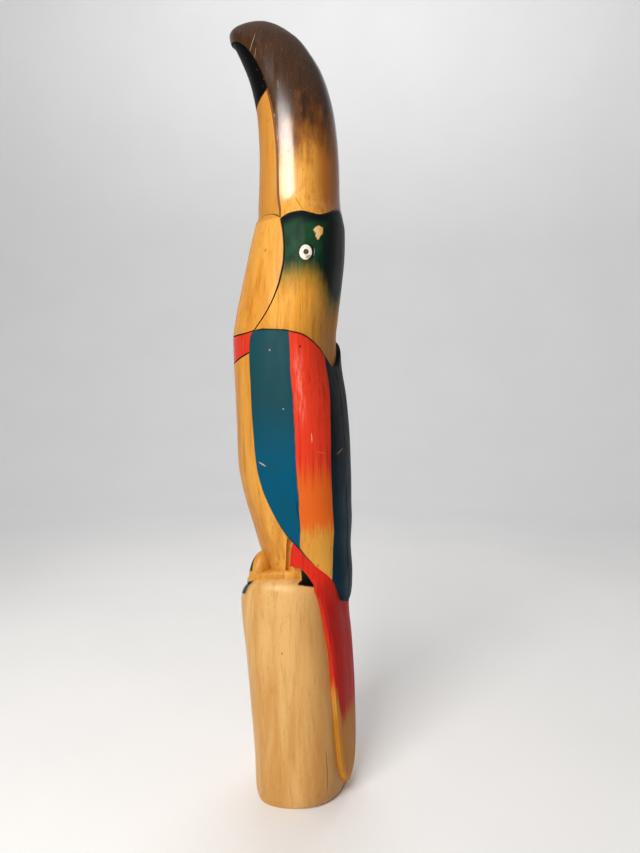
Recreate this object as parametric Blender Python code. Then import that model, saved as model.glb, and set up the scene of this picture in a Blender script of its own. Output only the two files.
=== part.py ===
"""A toucan carved from one block of wood, with folded wings, a tail and a stump under its feet.

The bird looks along -Y, its left side is +X, and the origin lies in the middle of the underside.
"""
import math
from bisect import bisect_left

import bmesh
import bpy
from mathutils import Vector

# Driving dimensions, in metres
STUMP_HEIGHT = 0.303
STUMP_WIDTH = 0.138
STUMP_DEPTH = 0.1517
BIRD_HEIGHT = 0.7458
BIRD_WIDTH = 0.135
BIRD_DEPTH = 0.164

WING_THICKNESS = 0.006
TAIL_THICKNESS = 0.007
BEAK_STEP = 0.002
LINE_DEPTH = 0.0018
CUTTER_REACH = 0.008

# The stump's top is a low saddle: it falls away from its crest to the front and, less, to the back
CREST_PLACE = -0.008
CREST_RISE = 0.0028
FALL_AHEAD = 4.5
FALL_BEHIND = 2.0
STUMP_BEND = 0.060
LEG_BEND = 0.020
WING_ROOT = 0.012
TAIL_ROOT = 0.008
EDGE_SOFTENING = 0.002

FOOT_LENGTH = 0.0855
FOOT_WIDTH = 0.044
FOOT_THICKNESS = 0.0105
TOE_GAP = 0.014
LEG_HOLLOW_RADIUS = 0.0055
LEG_NOTCH_RADIUS = 0.008
HOLLOW_FLOOR = 0.0009

EYE_DIAMETER = 0.020
EYE_THICKNESS = 0.006
EYE_PROUD = 0.0012
EYE_TURN = 4.0
PUPIL_DIAMETER = 0.006
PUPIL_THICKNESS = 0.003
PUPIL_PROUD = 0.0004
SEAT_REACH = 0.024
CLEARANCE = 0.0003

# Fineness of the facets
COLUMNS = 44
ROW_STEP = 0.021
OUTLINE_SAMPLES = 120
ROUND_SIDES = 28
FOOT_COLUMNS = 20
INSTEP_RINGS = 10
THROAT_LINE_POINTS = 14
BAND_LINE_POINTS = 7
HOLLOW_PARTS = (0.0, 0.5, 1.0)
WING_ROWS = [0.0, 0.008] + [0.03 + 0.062 * row for row in range(16)] + [0.985, 1.0]
WING_COLUMNS = [0.0, 0.02] + [0.1 + 0.1125 * column for column in range(9)]
TAIL_COLUMNS = (0.0, 0.06, 0.3, 0.55, 0.8)
RELIEF_COLUMNS = (0.0, 0.35, 0.7)
SHARP_ANGLE = 35
MERGE = 0.00001

# A drawing gives level sections, in millimetres: height above the stump's top, breast side,
# back, widest place, half width, and how square the front and the back halves are.
STUMP_DRAWING = (
    (-303, -60.5, 56.5, -19, 68.0, 2.2, 2.1),
    (-297, -64.0, 59.0, -19, 69.0, 2.1, 2.4),
    (-258, -66.0, 62.5, -19, 69.0, 2.1, 2.8),
    (-188, -72.8, 60.6, -20, 68.8, 2.1, 3.0),
    (-98, -82.4, 55.4, -22, 68.0, 2.1, 3.0),
    (-55, -88.3, 51.0, -23, 67.5, 2.1, 3.0),
    (-28, -89.2, 50.4, -24, 67.0, 2.1, 3.0),
    (-13, -88.0, 51.0, -24, 66.0, 2.1, 3.0),
    (-5, -85.8, 52.0, -24, 62.6, 2.1, 3.0),
    (-1, -82.5, 52.5, -24, 57.5, 2.1, 3.0),
    (0, -79.5, 52.5, -24, 53.0, 2.1, 3.0),
)
BIRD_DRAWING = (
    (0, -48.0, 51.0, 4, 43.0, 2.2, 2.8),
    (17, -56.0, 53.0, 4, 45.0, 2.2, 2.8),
    (42, -64.3, 56.8, 2, 51.0, 2.2, 2.8),
    (71, -72.5, 57.2, 0, 57.0, 2.2, 2.8),
    (99, -81.7, 55.7, -2, 62.0, 2.2, 2.8),
    (127, -88.5, 55.0, -4, 65.5, 2.2, 2.8),
    (155, -93.0, 53.8, -5, 67.0, 2.2, 2.8),
    (183, -93.9, 52.5, -6, 67.5, 2.2, 2.8),
    (239, -95.6, 47.5, -8, 67.5, 2.2, 2.8),
    (294, -98.7, 38.5, -8, 66.0, 2.2, 2.8),
    (322, -99.5, 37.4, -8, 65.0, 2.2, 2.7),
    (349, -96.2, 40.7, -2, 63.0, 2.2, 2.6),
    (389, -87.4, 46.2, 8, 60.0, 2.2, 2.5),
    (443, -74.8, 51.4, 17, 56.5, 2.2, 2.5),
    (468, -68.3, 52.0, 16, 53.5, 2.2, 2.5),
    (484, -64.8, 50.6, 9, 49.8, 2.1, 2.3),
    (496, -64.8, 49.0, 1, 47.0, 2.1, 2.2),
    (509, -64.0, 48.6, -4, 46.0, 2.1, 2.1),
    (535, -62.6, 48.1, -6, 45.5, 2.1, 2.1),
    (562, -62.2, 46.8, -7, 45.0, 2.1, 2.1),
    (588, -63.0, 44.4, -9, 45.0, 2.1, 2.1),
    (614, -65.0, 40.8, -11, 44.8, 2.1, 2.1),
    (641, -70.0, 34.2, -16, 43.8, 2.1, 2.1),
    (668, -77.8, 24.5, -25, 42.2, 2.1, 2.1),
    (696, -90.0, 8.0, -39, 38.8, 2.1, 2.1),
    (710.6, -97.5, -3.0, -50, 35.2, 2.1, 2.1),
    (723.1, -104.8, -16.2, -61, 30.5, 2.0, 2.0),
    (732.8, -106.8, -29.0, -68, 24.5, 2.0, 2.0),
    (739.6, -104.2, -41.0, -71, 17.5, 2.0, 2.0),
    (744, -97.0, -53.0, -73, 10.0, 2.0, 2.0),
    (745.8, -81.0, -69.0, -75, 4.0, 2.0, 2.0),
)
# What the wings and the tail lie on below the body
UNDER_WING_TIP = (
    (-53, -35.0, 58.5, 4, 44.0, 2.2, 2.8),
    (0, -40.0, 59.8, 4, 47.5, 2.2, 2.8),
)
UNDER_TAIL_ROOT = (
    (0, -60.0, 52.0, 0, 58.0, 2.2, 3.0),
    (22, -56.0, 52.6, 2, 48.0, 2.2, 3.0),
    (47, -56.0, 54.0, 2, 46.5, 2.2, 3.0),
    (80, -56.0, 50.0, 2, 46.0, 2.2, 3.0),
)
# Where a foot lies, as shares of its length: behind the breast's foot, and the instep ahead of its
# middle. The instep's half sizes are shares of the foot's width, length and thickness.
FOOT_SET_BACK = 0.237
INSTEP_AHEAD = 0.282
INSTEP_HALF_SIZES = (0.44, 0.20, 3.1)
# A foot's sections: height and inset as shares of its thickness
FOOT_DRAWING = ((-0.6, 0.3), (0.0, 0.0), (0.45, 0.0), (0.75, 0.12), (0.93, 0.35), (1.0, 0.65))
FOOT_SQUARENESS = 2.8
WING_MEETS_BODY = 42
TAIL_LEAVES_STUMP = -13
HOLLOW_SHARE = 0.455
HOLLOW_LEAN = 0.070
HOLLOW_TOP = 60

# Carved lines: height above the stump's top in millimetres, and the share of the way round
# from the middle of the breast, 0, to the middle of the back, 1. Half way round is about as long
# as USUAL_HALF_GIRTH, in millimetres.
USUAL_HALF_GIRTH = 220
WING_TOP = ((330, 0.415), (331.5, 0.472), (331, 0.537), (330, 0.610), (328, 0.652), (325.5, 0.701),
            (319.5, 0.753), (310, 0.813), (299.5, 0.864), (286, 0.950), (283, 1.0))
WING_EDGE = ((330, 0.415), (322, 0.392), (303, 0.382), (271, 0.380), (226, 0.376), (188, 0.381),
             (156, 0.390), (124, 0.411), (97, 0.446), (75, 0.482), (60, 0.526), (49, 0.575),
             (37, 0.617), (28.5, 0.651), (21.5, 0.684), (14, 0.721), (3, 0.774), (-11, 0.831),
             (-19, 0.867), (-30, 0.922), (-34, 0.975))
WING_TIP = -35
TAIL_EDGE = ((-287, 0.985), (-285, 0.955), (-280, 0.920), (-272.5, 0.897), (-264, 0.880), (-246, 0.856),
             (-215, 0.838), (-180, 0.830), (-139, 0.820), (-86, 0.814), (-53, 0.797), (-24, 0.770),
             (-13, 0.750), (-3, 0.702), (7, 0.664), (16, 0.620), (21, 0.578), (23, 0.500), (50, 0.504),
             (70, 0.56))
BEAK_EDGE = ((479, 0.447), (535, 0.439), (582, 0.429), (610, 0.415), (640, 0.394), (669, 0.372),
             (684, 0.350), (698, 0.322), (707.7, 0.279), (715.4, 0.210), (719.8, 0.120), (721.2, 0.040))
THROAT_LINE = ((471.8, 0.452), (454, 0.487), (429, 0.515), (412, 0.524), (393, 0.520), (374, 0.504),
               (357, 0.477), (343, 0.442), (330, 0.402))
BAND_TOP = ((330, 0.402), (327, 0.326), (325.5, 0.234), (324, 0.11), (323, 0.0))
BAND_FOOT = ((303.5, 0.385), (300, 0.340), (296, 0.283), (291, 0.210), (286, 0.10), (284, 0.0))
EYE_PLACE = (425.8, 0.667)

COLLECTION = "toucan_sculpture"
CUTTERS = "toucan_cutters"


def clear_scene():
    """Start from an empty scene."""
    for thing in list(bpy.data.objects):
        bpy.data.objects.remove(thing, do_unlink=True)
    for name in (COLLECTION, CUTTERS):
        collection = bpy.data.collections.get(name) or bpy.data.collections.new(name)
        if name not in bpy.context.scene.collection.children:
            bpy.context.scene.collection.children.link(collection)


def material(name, colour, roughness, metallic=0.0):
    """A plain finish in the piece's main colour."""
    finish = bpy.data.materials.new(name)
    finish.use_nodes = True
    shader = finish.node_tree.nodes["Principled BSDF"]
    shader.inputs["Base Color"].default_value = (*colour, 1.0)
    shader.inputs["Roughness"].default_value = roughness
    shader.inputs["Metallic"].default_value = metallic
    return finish


def smooth_value(rows, height, column):
    """Read a column of the rows at any height, on a smooth curve that never overshoots."""
    if height <= rows[0][0]:
        return rows[0][column]
    if height >= rows[-1][0]:
        return rows[-1][column]
    index = bisect_left([row[0] for row in rows], height) - 1
    steps = [b[0] - a[0] for a, b in zip(rows, rows[1:])]
    slopes = [(b[column] - a[column]) / step for a, b, step in zip(rows, rows[1:], steps)]

    def tangent(knot):
        if knot == 0:
            return slopes[0]
        if knot == len(slopes):
            return slopes[-1]
        before, after = slopes[knot - 1], slopes[knot]
        if before * after <= 0.0:
            return 0.0
        weight_before = 2 * steps[knot] + steps[knot - 1]
        weight_after = steps[knot] + 2 * steps[knot - 1]
        return (weight_before + weight_after) / (weight_before / before + weight_after / after)

    step = steps[index]
    t = (height - rows[index][0]) / step
    return ((2 * t**3 - 3 * t**2 + 1) * rows[index][column]
            + (t**3 - 2 * t**2 + t) * tangent(index) * step
            + (3 * t**2 - 2 * t**3) * rows[index + 1][column]
            + (t**3 - t**2) * tangent(index + 1) * step)


def level(height):
    """Turn a drawn height into a real one above the ground."""
    if height < 0:
        return STUMP_HEIGHT * (1 - height / STUMP_DRAWING[0][0])
    return STUMP_HEIGHT + BIRD_HEIGHT * height / BIRD_DRAWING[-1][0]


def form(rows, drawing, depth, width):
    """Stretch drawn sections to the real depth and width of the whole drawing."""
    deep = depth / (max(row[2] for row in drawing) - min(row[1] for row in drawing))
    wide = width / (2 * max(row[4] for row in drawing))
    return [(level(row[0]), row[1] * deep, row[2] * deep, row[3] * deep, row[4] * wide, row[5], row[6])
            for row in rows]


STUMP_FORM = form(STUMP_DRAWING, STUMP_DRAWING, STUMP_DEPTH, STUMP_WIDTH)
BIRD_FORM = form(BIRD_DRAWING, BIRD_DRAWING, BIRD_DEPTH, BIRD_WIDTH)
WING_FORM = form(
    UNDER_WING_TIP + tuple(row for row in BIRD_DRAWING if row[0] >= WING_MEETS_BODY),
    BIRD_DRAWING, BIRD_DEPTH, BIRD_WIDTH)
TAIL_FORM = ([row for row in STUMP_FORM if row[0] <= level(TAIL_LEAVES_STUMP)]
             + form(UNDER_TAIL_ROOT, BIRD_DRAWING, BIRD_DEPTH, BIRD_WIDTH))
OUTLINES = {}


def outline(rows, height):
    """Half a level section from breast to back: its points and the length up to each."""
    key = (id(rows), round(height, 6))
    if key in OUTLINES:
        return OUTLINES[key]
    front, back, widest, half, front_square, back_square = (
        smooth_value(rows, height, column) for column in range(1, 7))
    points = []
    for sample in range(OUTLINE_SAMPLES + 1):
        angle = math.pi * sample / OUTLINE_SAMPLES
        ahead = angle < math.pi / 2
        reach = widest - front if ahead else back - widest
        power = 2 / (front_square if ahead else back_square)
        side = half * abs(math.sin(angle)) ** power
        along = math.copysign(abs(math.cos(angle)) ** power, math.cos(angle))
        points.append(Vector((side if 0 < sample < OUTLINE_SAMPLES else 0.0, widest - reach * along)))
    lengths = [0.0]
    for before, after in zip(points, points[1:]):
        lengths.append(lengths[-1] + (after - before).length)
    OUTLINES[key] = (points, lengths)
    return OUTLINES[key]


def skin(rows, share, height, proud=0.0):
    """A point of the surface. Shares from 1 to 2 come back along the other side."""
    share %= 2
    side = 1
    if share > 1:
        share, side = 2 - share, -1
    points, lengths = outline(rows, height)
    wanted = share * lengths[-1]
    index = min(max(bisect_left(lengths, wanted), 1), OUTLINE_SAMPLES)
    run = lengths[index] - lengths[index - 1]
    part = (wanted - lengths[index - 1]) / run if run else 0.0
    place = points[index - 1].lerp(points[index], part)
    along = points[min(index + 1, OUTLINE_SAMPLES)] - points[max(index - 2, 0)]
    if share in (0, 1):
        along = Vector((math.cos(math.pi * share), 0.0))
    outward = Vector((along.y, -along.x)).normalized()
    place = place + outward * proud
    return Vector((side * place.x, place.y, height))


def curve_point(points, part):
    """A place part of the way along a carved line, measured by its length."""
    flat = [Vector((height, share * USUAL_HALF_GIRTH)) for height, share in points]
    lengths = [0.0]
    for before, after in zip(flat, flat[1:]):
        lengths.append(lengths[-1] + (after - before).length)
    wanted = part * lengths[-1]
    index = min(max(bisect_left(lengths, wanted), 1), len(flat) - 1)
    fraction = (wanted - lengths[index - 1]) / (lengths[index] - lengths[index - 1])
    place = flat[index - 1].lerp(flat[index], fraction)
    return place.x, place.y / USUAL_HALF_GIRTH


def add_mesh(name, points, faces, collection=COLLECTION):
    """Make an object of points and faces, with its faces turned outwards."""
    mesh = bpy.data.meshes.new(name)
    mesh.from_pydata(points, [], faces)
    shape = bmesh.new()
    shape.from_mesh(mesh)
    bmesh.ops.recalc_face_normals(shape, faces=shape.faces)
    shape.to_mesh(mesh)
    shape.free()
    mesh.shade_smooth()
    mesh.set_sharp_from_angle(angle=math.radians(SHARP_ANGLE))
    thing = bpy.data.objects.new(name, mesh)
    bpy.data.collections[collection].objects.link(thing)
    if collection == CUTTERS:
        thing.hide_render = True
        thing.display_type = "WIRE"
    return thing


def move_to(thing, collection):
    """Keep an object in one of the two collections only."""
    for old in list(thing.users_collection):
        old.objects.unlink(thing)
    bpy.data.collections[collection].objects.link(thing)
    if collection == CUTTERS:
        thing.hide_render = True
        thing.display_type = "WIRE"
    return thing


def ring_heights(rows):
    """Heights of the sections, with more between stations that stand far apart."""
    heights = []
    for before, after in zip(rows, rows[1:]):
        count = max(1, math.ceil((after[0] - before[0]) / ROW_STEP))
        heights += [before[0] + (after[0] - before[0]) * part / count for part in range(count)]
    return heights + [rows[-1][0]]


def loft(name, rings, collection=COLLECTION):
    """Join rings of points into a closed solid with flat ends."""
    columns = len(rings[0])
    points = [point for ring in rings for point in ring]
    faces = []
    for row in range(len(rings) - 1):
        for column in range(columns):
            beside = (column + 1) % columns
            faces.append((row * columns + column, row * columns + beside,
                          (row + 1) * columns + beside, (row + 1) * columns + column))
    faces.append(tuple(reversed(range(columns))))
    crown = (len(rings) - 1) * columns
    faces.append(tuple(crown + column for column in range(columns)))
    return add_mesh(name, points, faces, collection)


def saddle(place, amount=1.0):
    """Move a point up or down with the stump's top, by all of the fall or by an amount of it."""
    away = place.y - CREST_PLACE
    fall = FALL_AHEAD if away < 0 else FALL_BEHIND
    return Vector((place.x, place.y, place.z + (CREST_RISE - fall * away**2) * amount))


def carved_block():
    """The stump and the bird as one loft of level sections, with a ledge for the feet."""
    rings = []
    for rows, bend in ((STUMP_FORM, STUMP_BEND), (BIRD_FORM, LEG_BEND)):
        for height in ring_heights(rows):
            amount = max(0.0, 1 - abs(height - STUMP_HEIGHT) / bend)
            rings.append([saddle(skin(rows, 2 * column / COLUMNS, height), amount)
                          for column in range(COLUMNS)])
    return loft("toucan", rings)


def raised_patch(name, rows, grid, lift, root):
    """A closed slab that follows the surface, with softened edges. grid holds (height, share)."""
    last_row, last_column = len(grid) - 1, len(grid[0]) - 1
    outer, inner = [], []
    for row, line in enumerate(grid):
        for column, (height, share) in enumerate(line):
            edge = row in (0, last_row) or column in (0, last_column)
            proud = lift - (EDGE_SOFTENING if edge else 0.0)
            outer.append(skin(rows, share, level(height), proud))
            inner.append(skin(rows, share, level(height), -root))
    wide = last_column + 1
    count = len(outer)
    faces = []
    for row in range(last_row):
        for column in range(last_column):
            corner = row * wide + column
            loop = (corner, corner + 1, corner + 1 + wide, corner + wide)
            faces.append(loop)
            faces.append(tuple(index + count for index in reversed(loop)))
    rim = ([column for column in range(last_column)]
           + [row * wide + last_column for row in range(last_row)]
           + [last_row * wide + column for column in range(last_column, 0, -1)]
           + [row * wide for row in range(last_row, 0, -1)])
    for here, there in zip(rim, rim[1:] + rim[:1]):
        faces.append((here, here + count, there + count, there))
    return add_mesh(name, outer + inner, faces, CUTTERS)


def wing_pair():
    """Both folded wings, which meet along the middle of the back."""
    top_start, top_end = curve_point(WING_TOP, 0.0), curve_point(WING_TOP, 1.0)
    grid = []
    for part in WING_ROWS:
        edge = curve_point(WING_EDGE, part)
        middle = (top_end[0] + (WING_TIP - top_end[0]) * part, 1.0)
        line = []
        for across in WING_COLUMNS:
            top = curve_point(WING_TOP, across)
            bow = [top[k] - top_start[k] - (top_end[k] - top_start[k]) * across for k in (0, 1)]
            line.append(tuple(edge[k] + (middle[k] - edge[k]) * across + bow[k] * (1 - part)
                              for k in (0, 1)))
        grid.append(line + [(height, 2 - share) for height, share in reversed(line[:-1])])
    return raised_patch("wing_pair", WING_FORM, grid, WING_THICKNESS, WING_ROOT)


def tail():
    """The tail, a tongue carved proud of the stump's back."""
    heights = [row[0] for row in TAIL_EDGE]
    grid = []
    for height in heights:
        edge = smooth_value(TAIL_EDGE, height, 1)
        line = [(height, edge + (1 - edge) * part) for part in TAIL_COLUMNS]
        grid.append(line + [(height, 1.0)] + [(height, 2 - share) for _, share in reversed(line)])
    return raised_patch("tail", TAIL_FORM, grid, TAIL_THICKNESS, TAIL_ROOT)


def mandible_relief():
    """What is taken off the lower beak, so that the upper beak stands over it."""
    grid = []
    for height, edge in BEAK_EDGE:
        line = [(height, -edge + edge * part) for part in RELIEF_COLUMNS]
        grid.append(line + [(height, 0.0)] + [(height, -share) for _, share in reversed(line)])
    return raised_patch("mandible_relief", BIRD_FORM, grid, CUTTER_REACH, BEAK_STEP)


def tube(name, points, radius, fineness=0):
    """A closed tube through points, as a mesh."""
    data = bpy.data.curves.new(name, "CURVE")
    data.dimensions = "3D"
    data.bevel_depth = radius
    data.bevel_resolution = fineness
    data.use_fill_caps = True
    spline = data.splines.new("POLY")
    spline.points.add(len(points) - 1)
    for knot, place in zip(spline.points, points):
        knot.co = (*place, 1.0)
    route = bpy.data.objects.new(name, data)
    bpy.data.collections[CUTTERS].objects.link(route)
    bpy.context.view_layer.update()
    mesh = bpy.data.meshes.new_from_object(
        route.evaluated_get(bpy.context.evaluated_depsgraph_get()))
    shape = bmesh.new()
    shape.from_mesh(mesh)
    bmesh.ops.remove_doubles(shape, verts=shape.verts, dist=MERGE)
    bmesh.ops.recalc_face_normals(shape, faces=shape.faces)
    shape.to_mesh(mesh)
    shape.free()
    solid = bpy.data.objects.new(name + "_solid", mesh)
    solid.matrix_world = route.matrix_world
    bpy.data.objects.remove(route, do_unlink=True)
    bpy.data.collections[CUTTERS].objects.link(solid)
    solid.hide_render = True
    solid.display_type = "WIRE"
    return solid


def line_cutter(name, points, count):
    """A thin square bar along a carved line on the left side and, mirrored, on the right."""
    places = [curve_point(points, part / (count - 1)) for part in range(count)]
    left = [skin(BIRD_FORM, share, level(height)) for height, share in places]
    right = [Vector((-place.x, place.y, place.z)) for place in left]
    meets_breast = points[-1][1] == 0.0
    if meets_breast:
        return [tube(name, left + right[-2::-1], LINE_DEPTH)]
    return [tube(name + "_left", left, LINE_DEPTH), tube(name + "_right", right, LINE_DEPTH)]


def foot_middle():
    """How far the middle of a foot lies from the bird's middle plane, and from its axis."""
    breast = skin(BIRD_FORM, 0.0, STUMP_HEIGHT).y
    return (TOE_GAP + FOOT_WIDTH) / 2, breast + FOOT_LENGTH * FOOT_SET_BACK


def foot(name, side):
    """A foot: a low pad with round ends and softened upper edge, sunk a little in the stump."""
    aside, middle = foot_middle()
    rows = []
    for height, inset in FOOT_DRAWING:
        shrink = inset * FOOT_THICKNESS
        rows.append((STUMP_HEIGHT + height * FOOT_THICKNESS, middle - FOOT_LENGTH / 2 + shrink,
                     middle + FOOT_LENGTH / 2 - shrink, middle, FOOT_WIDTH / 2 - shrink,
                     FOOT_SQUARENESS, FOOT_SQUARENESS))
    columns = FOOT_COLUMNS
    pad = loft(name, [[saddle(skin(rows, 2 * column / columns, row[0])) for column in range(columns)]
                      for row in rows], CUTTERS)
    pad.location.x = side * aside
    return pad


def foot_swelling(name, side):
    """The instep, a low dome that joins the pad to the leg."""
    aside, middle = foot_middle()
    bpy.ops.mesh.primitive_uv_sphere_add(
        segments=FOOT_COLUMNS, ring_count=INSTEP_RINGS, radius=1,
        location=(side * aside, middle - FOOT_LENGTH * INSTEP_AHEAD, STUMP_HEIGHT + FOOT_THICKNESS / 2))
    dome = bpy.context.object
    dome.name = name
    dome.scale = [size * part for size, part in
                  zip((FOOT_WIDTH, FOOT_LENGTH, FOOT_THICKNESS), INSTEP_HALF_SIZES)]
    bpy.ops.object.transform_apply(location=True, rotation=False, scale=True)
    for vertex in dome.data.vertices:
        vertex.co = saddle(vertex.co)
    return move_to(dome, CUTTERS)


def leg_cutters():
    """Hollows between each leg and the tail, and the notch between the two legs."""
    low, high = STUMP_HEIGHT + HOLLOW_FLOOR, level(HOLLOW_TOP)
    cutters = []
    foot_top = STUMP_HEIGHT + FOOT_THICKNESS
    for side in (1, -1):
        route = [skin(BIRD_FORM, side * (HOLLOW_SHARE + HOLLOW_LEAN * part) % 2,
                      foot_top + (high - foot_top) * part, -LEG_HOLLOW_RADIUS / 2)
                 for part in HOLLOW_PARTS]
        cutters.append(tube(f"leg_hollow_{side}", route, LEG_HOLLOW_RADIUS, 2))
    route = [skin(BIRD_FORM, 0.0, low + (high - low) * part, LEG_NOTCH_RADIUS / 4)
             for part in HOLLOW_PARTS]
    cutters.append(tube("leg_notch", route, LEG_NOTCH_RADIUS, 2))
    return cutters


def eye_frame(side):
    """Where an eye sits on the cheek, and the way it faces."""
    height, share = EYE_PLACE
    seat = skin(BIRD_FORM, share if side > 0 else 2 - share, level(height))
    turn = math.radians(EYE_TURN)
    facing = Vector((side * math.cos(turn), -math.sin(turn), 0.0))
    return seat, facing


def round_bar(name, centre, facing, diameter, length, collection):
    """A cylinder along a direction, with its place and turn left on the object."""
    bpy.ops.mesh.primitive_cylinder_add(
        vertices=ROUND_SIDES, radius=diameter / 2, depth=length, location=centre,
        rotation=facing.to_track_quat("Z", "Y").to_euler())
    bar = bpy.context.object
    bar.name = name
    bar.data.name = name
    bar.data.shade_smooth()
    bar.data.set_sharp_from_angle(angle=math.radians(SHARP_ANGLE))
    return move_to(bar, collection)


def cut(thing, cutter, operation="DIFFERENCE"):
    """Add an exact Boolean with a cutter or with a shape that joins."""
    step = thing.modifiers.new(cutter.name, "BOOLEAN")
    step.operation = operation
    step.solver = "EXACT"
    step.object = cutter


def eye(side, side_name, body, white, black):
    """One eye: an inlaid pale disc with a dark pin for its pupil."""
    seat, facing = eye_frame(side)
    bed = seat + facing * (EYE_PROUD - EYE_THICKNESS - CLEARANCE)
    cut(body, round_bar(f"eye_bed_{side_name}", bed + facing * SEAT_REACH / 2, facing,
                        EYE_DIAMETER + 2 * CLEARANCE, SEAT_REACH, CUTTERS))
    disc = round_bar(f"eye_{side_name}", seat + facing * (EYE_PROUD - EYE_THICKNESS / 2), facing,
                     EYE_DIAMETER, EYE_THICKNESS, COLLECTION)
    disc.data.materials.append(white)
    face = seat + facing * EYE_PROUD
    hole_floor = face + facing * (PUPIL_PROUD - PUPIL_THICKNESS - CLEARANCE)
    cut(disc, round_bar(f"pupil_bed_{side_name}", hole_floor + facing * SEAT_REACH / 2, facing,
                        PUPIL_DIAMETER + 2 * CLEARANCE, SEAT_REACH, CUTTERS))
    pin = round_bar(f"pupil_{side_name}", face + facing * (PUPIL_PROUD - PUPIL_THICKNESS / 2), facing,
                    PUPIL_DIAMETER, PUPIL_THICKNESS, COLLECTION)
    pin.data.materials.append(black)


def build():
    """Model every piece."""
    clear_scene()
    varnished = material("varnished_wood", (0.50, 0.26, 0.08), 0.35)
    white = material("eye_white", (0.80, 0.77, 0.68), 0.30)
    black = material("pupil_black", (0.012, 0.010, 0.010), 0.25)

    body = carved_block()
    body.data.materials.append(varnished)
    for joined in [tail(), wing_pair()]:
        cut(body, joined, "UNION")
    for side_name, side in (("left", 1), ("right", -1)):
        cut(body, foot(f"foot_{side_name}", side), "UNION")
        cut(body, foot_swelling(f"instep_{side_name}", side), "UNION")
    cutters = leg_cutters() + [mandible_relief()]
    cutters += line_cutter("throat_line", THROAT_LINE, THROAT_LINE_POINTS)
    cutters += line_cutter("band_top", BAND_TOP, BAND_LINE_POINTS)
    cutters += line_cutter("band_foot", BAND_FOOT, BAND_LINE_POINTS)
    for cutter in cutters:
        cut(body, cutter)
    for side_name, side in (("left", 1), ("right", -1)):
        eye(side, side_name, body, white, black)


build()
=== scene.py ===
"""A toucan carved from one block of wood: its fine shape, its stain, paint and varnish.

Drawn sizes are in millimetres, with heights measured from the top of the stump. A place on the
carving is given by its height and by its share of the way round, from the middle of the breast, 0,
to the middle of the back, 1, and on along the bird's right side to 2.
"""

import math

import bpy
import numpy as np
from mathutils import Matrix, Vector, noise


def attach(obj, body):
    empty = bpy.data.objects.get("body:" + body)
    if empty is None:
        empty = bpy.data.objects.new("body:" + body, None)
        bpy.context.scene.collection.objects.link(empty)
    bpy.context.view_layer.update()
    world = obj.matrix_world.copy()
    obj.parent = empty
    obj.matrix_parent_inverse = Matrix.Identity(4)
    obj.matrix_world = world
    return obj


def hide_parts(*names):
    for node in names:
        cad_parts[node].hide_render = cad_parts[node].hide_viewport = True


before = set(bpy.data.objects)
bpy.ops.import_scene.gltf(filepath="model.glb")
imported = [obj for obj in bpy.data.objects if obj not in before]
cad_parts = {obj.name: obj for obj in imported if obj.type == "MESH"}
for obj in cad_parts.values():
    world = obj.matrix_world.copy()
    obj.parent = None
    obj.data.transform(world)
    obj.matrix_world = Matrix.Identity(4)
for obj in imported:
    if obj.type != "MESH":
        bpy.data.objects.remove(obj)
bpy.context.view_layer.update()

MM = 0.001
STUMP_HEIGHT = 303.0

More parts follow.
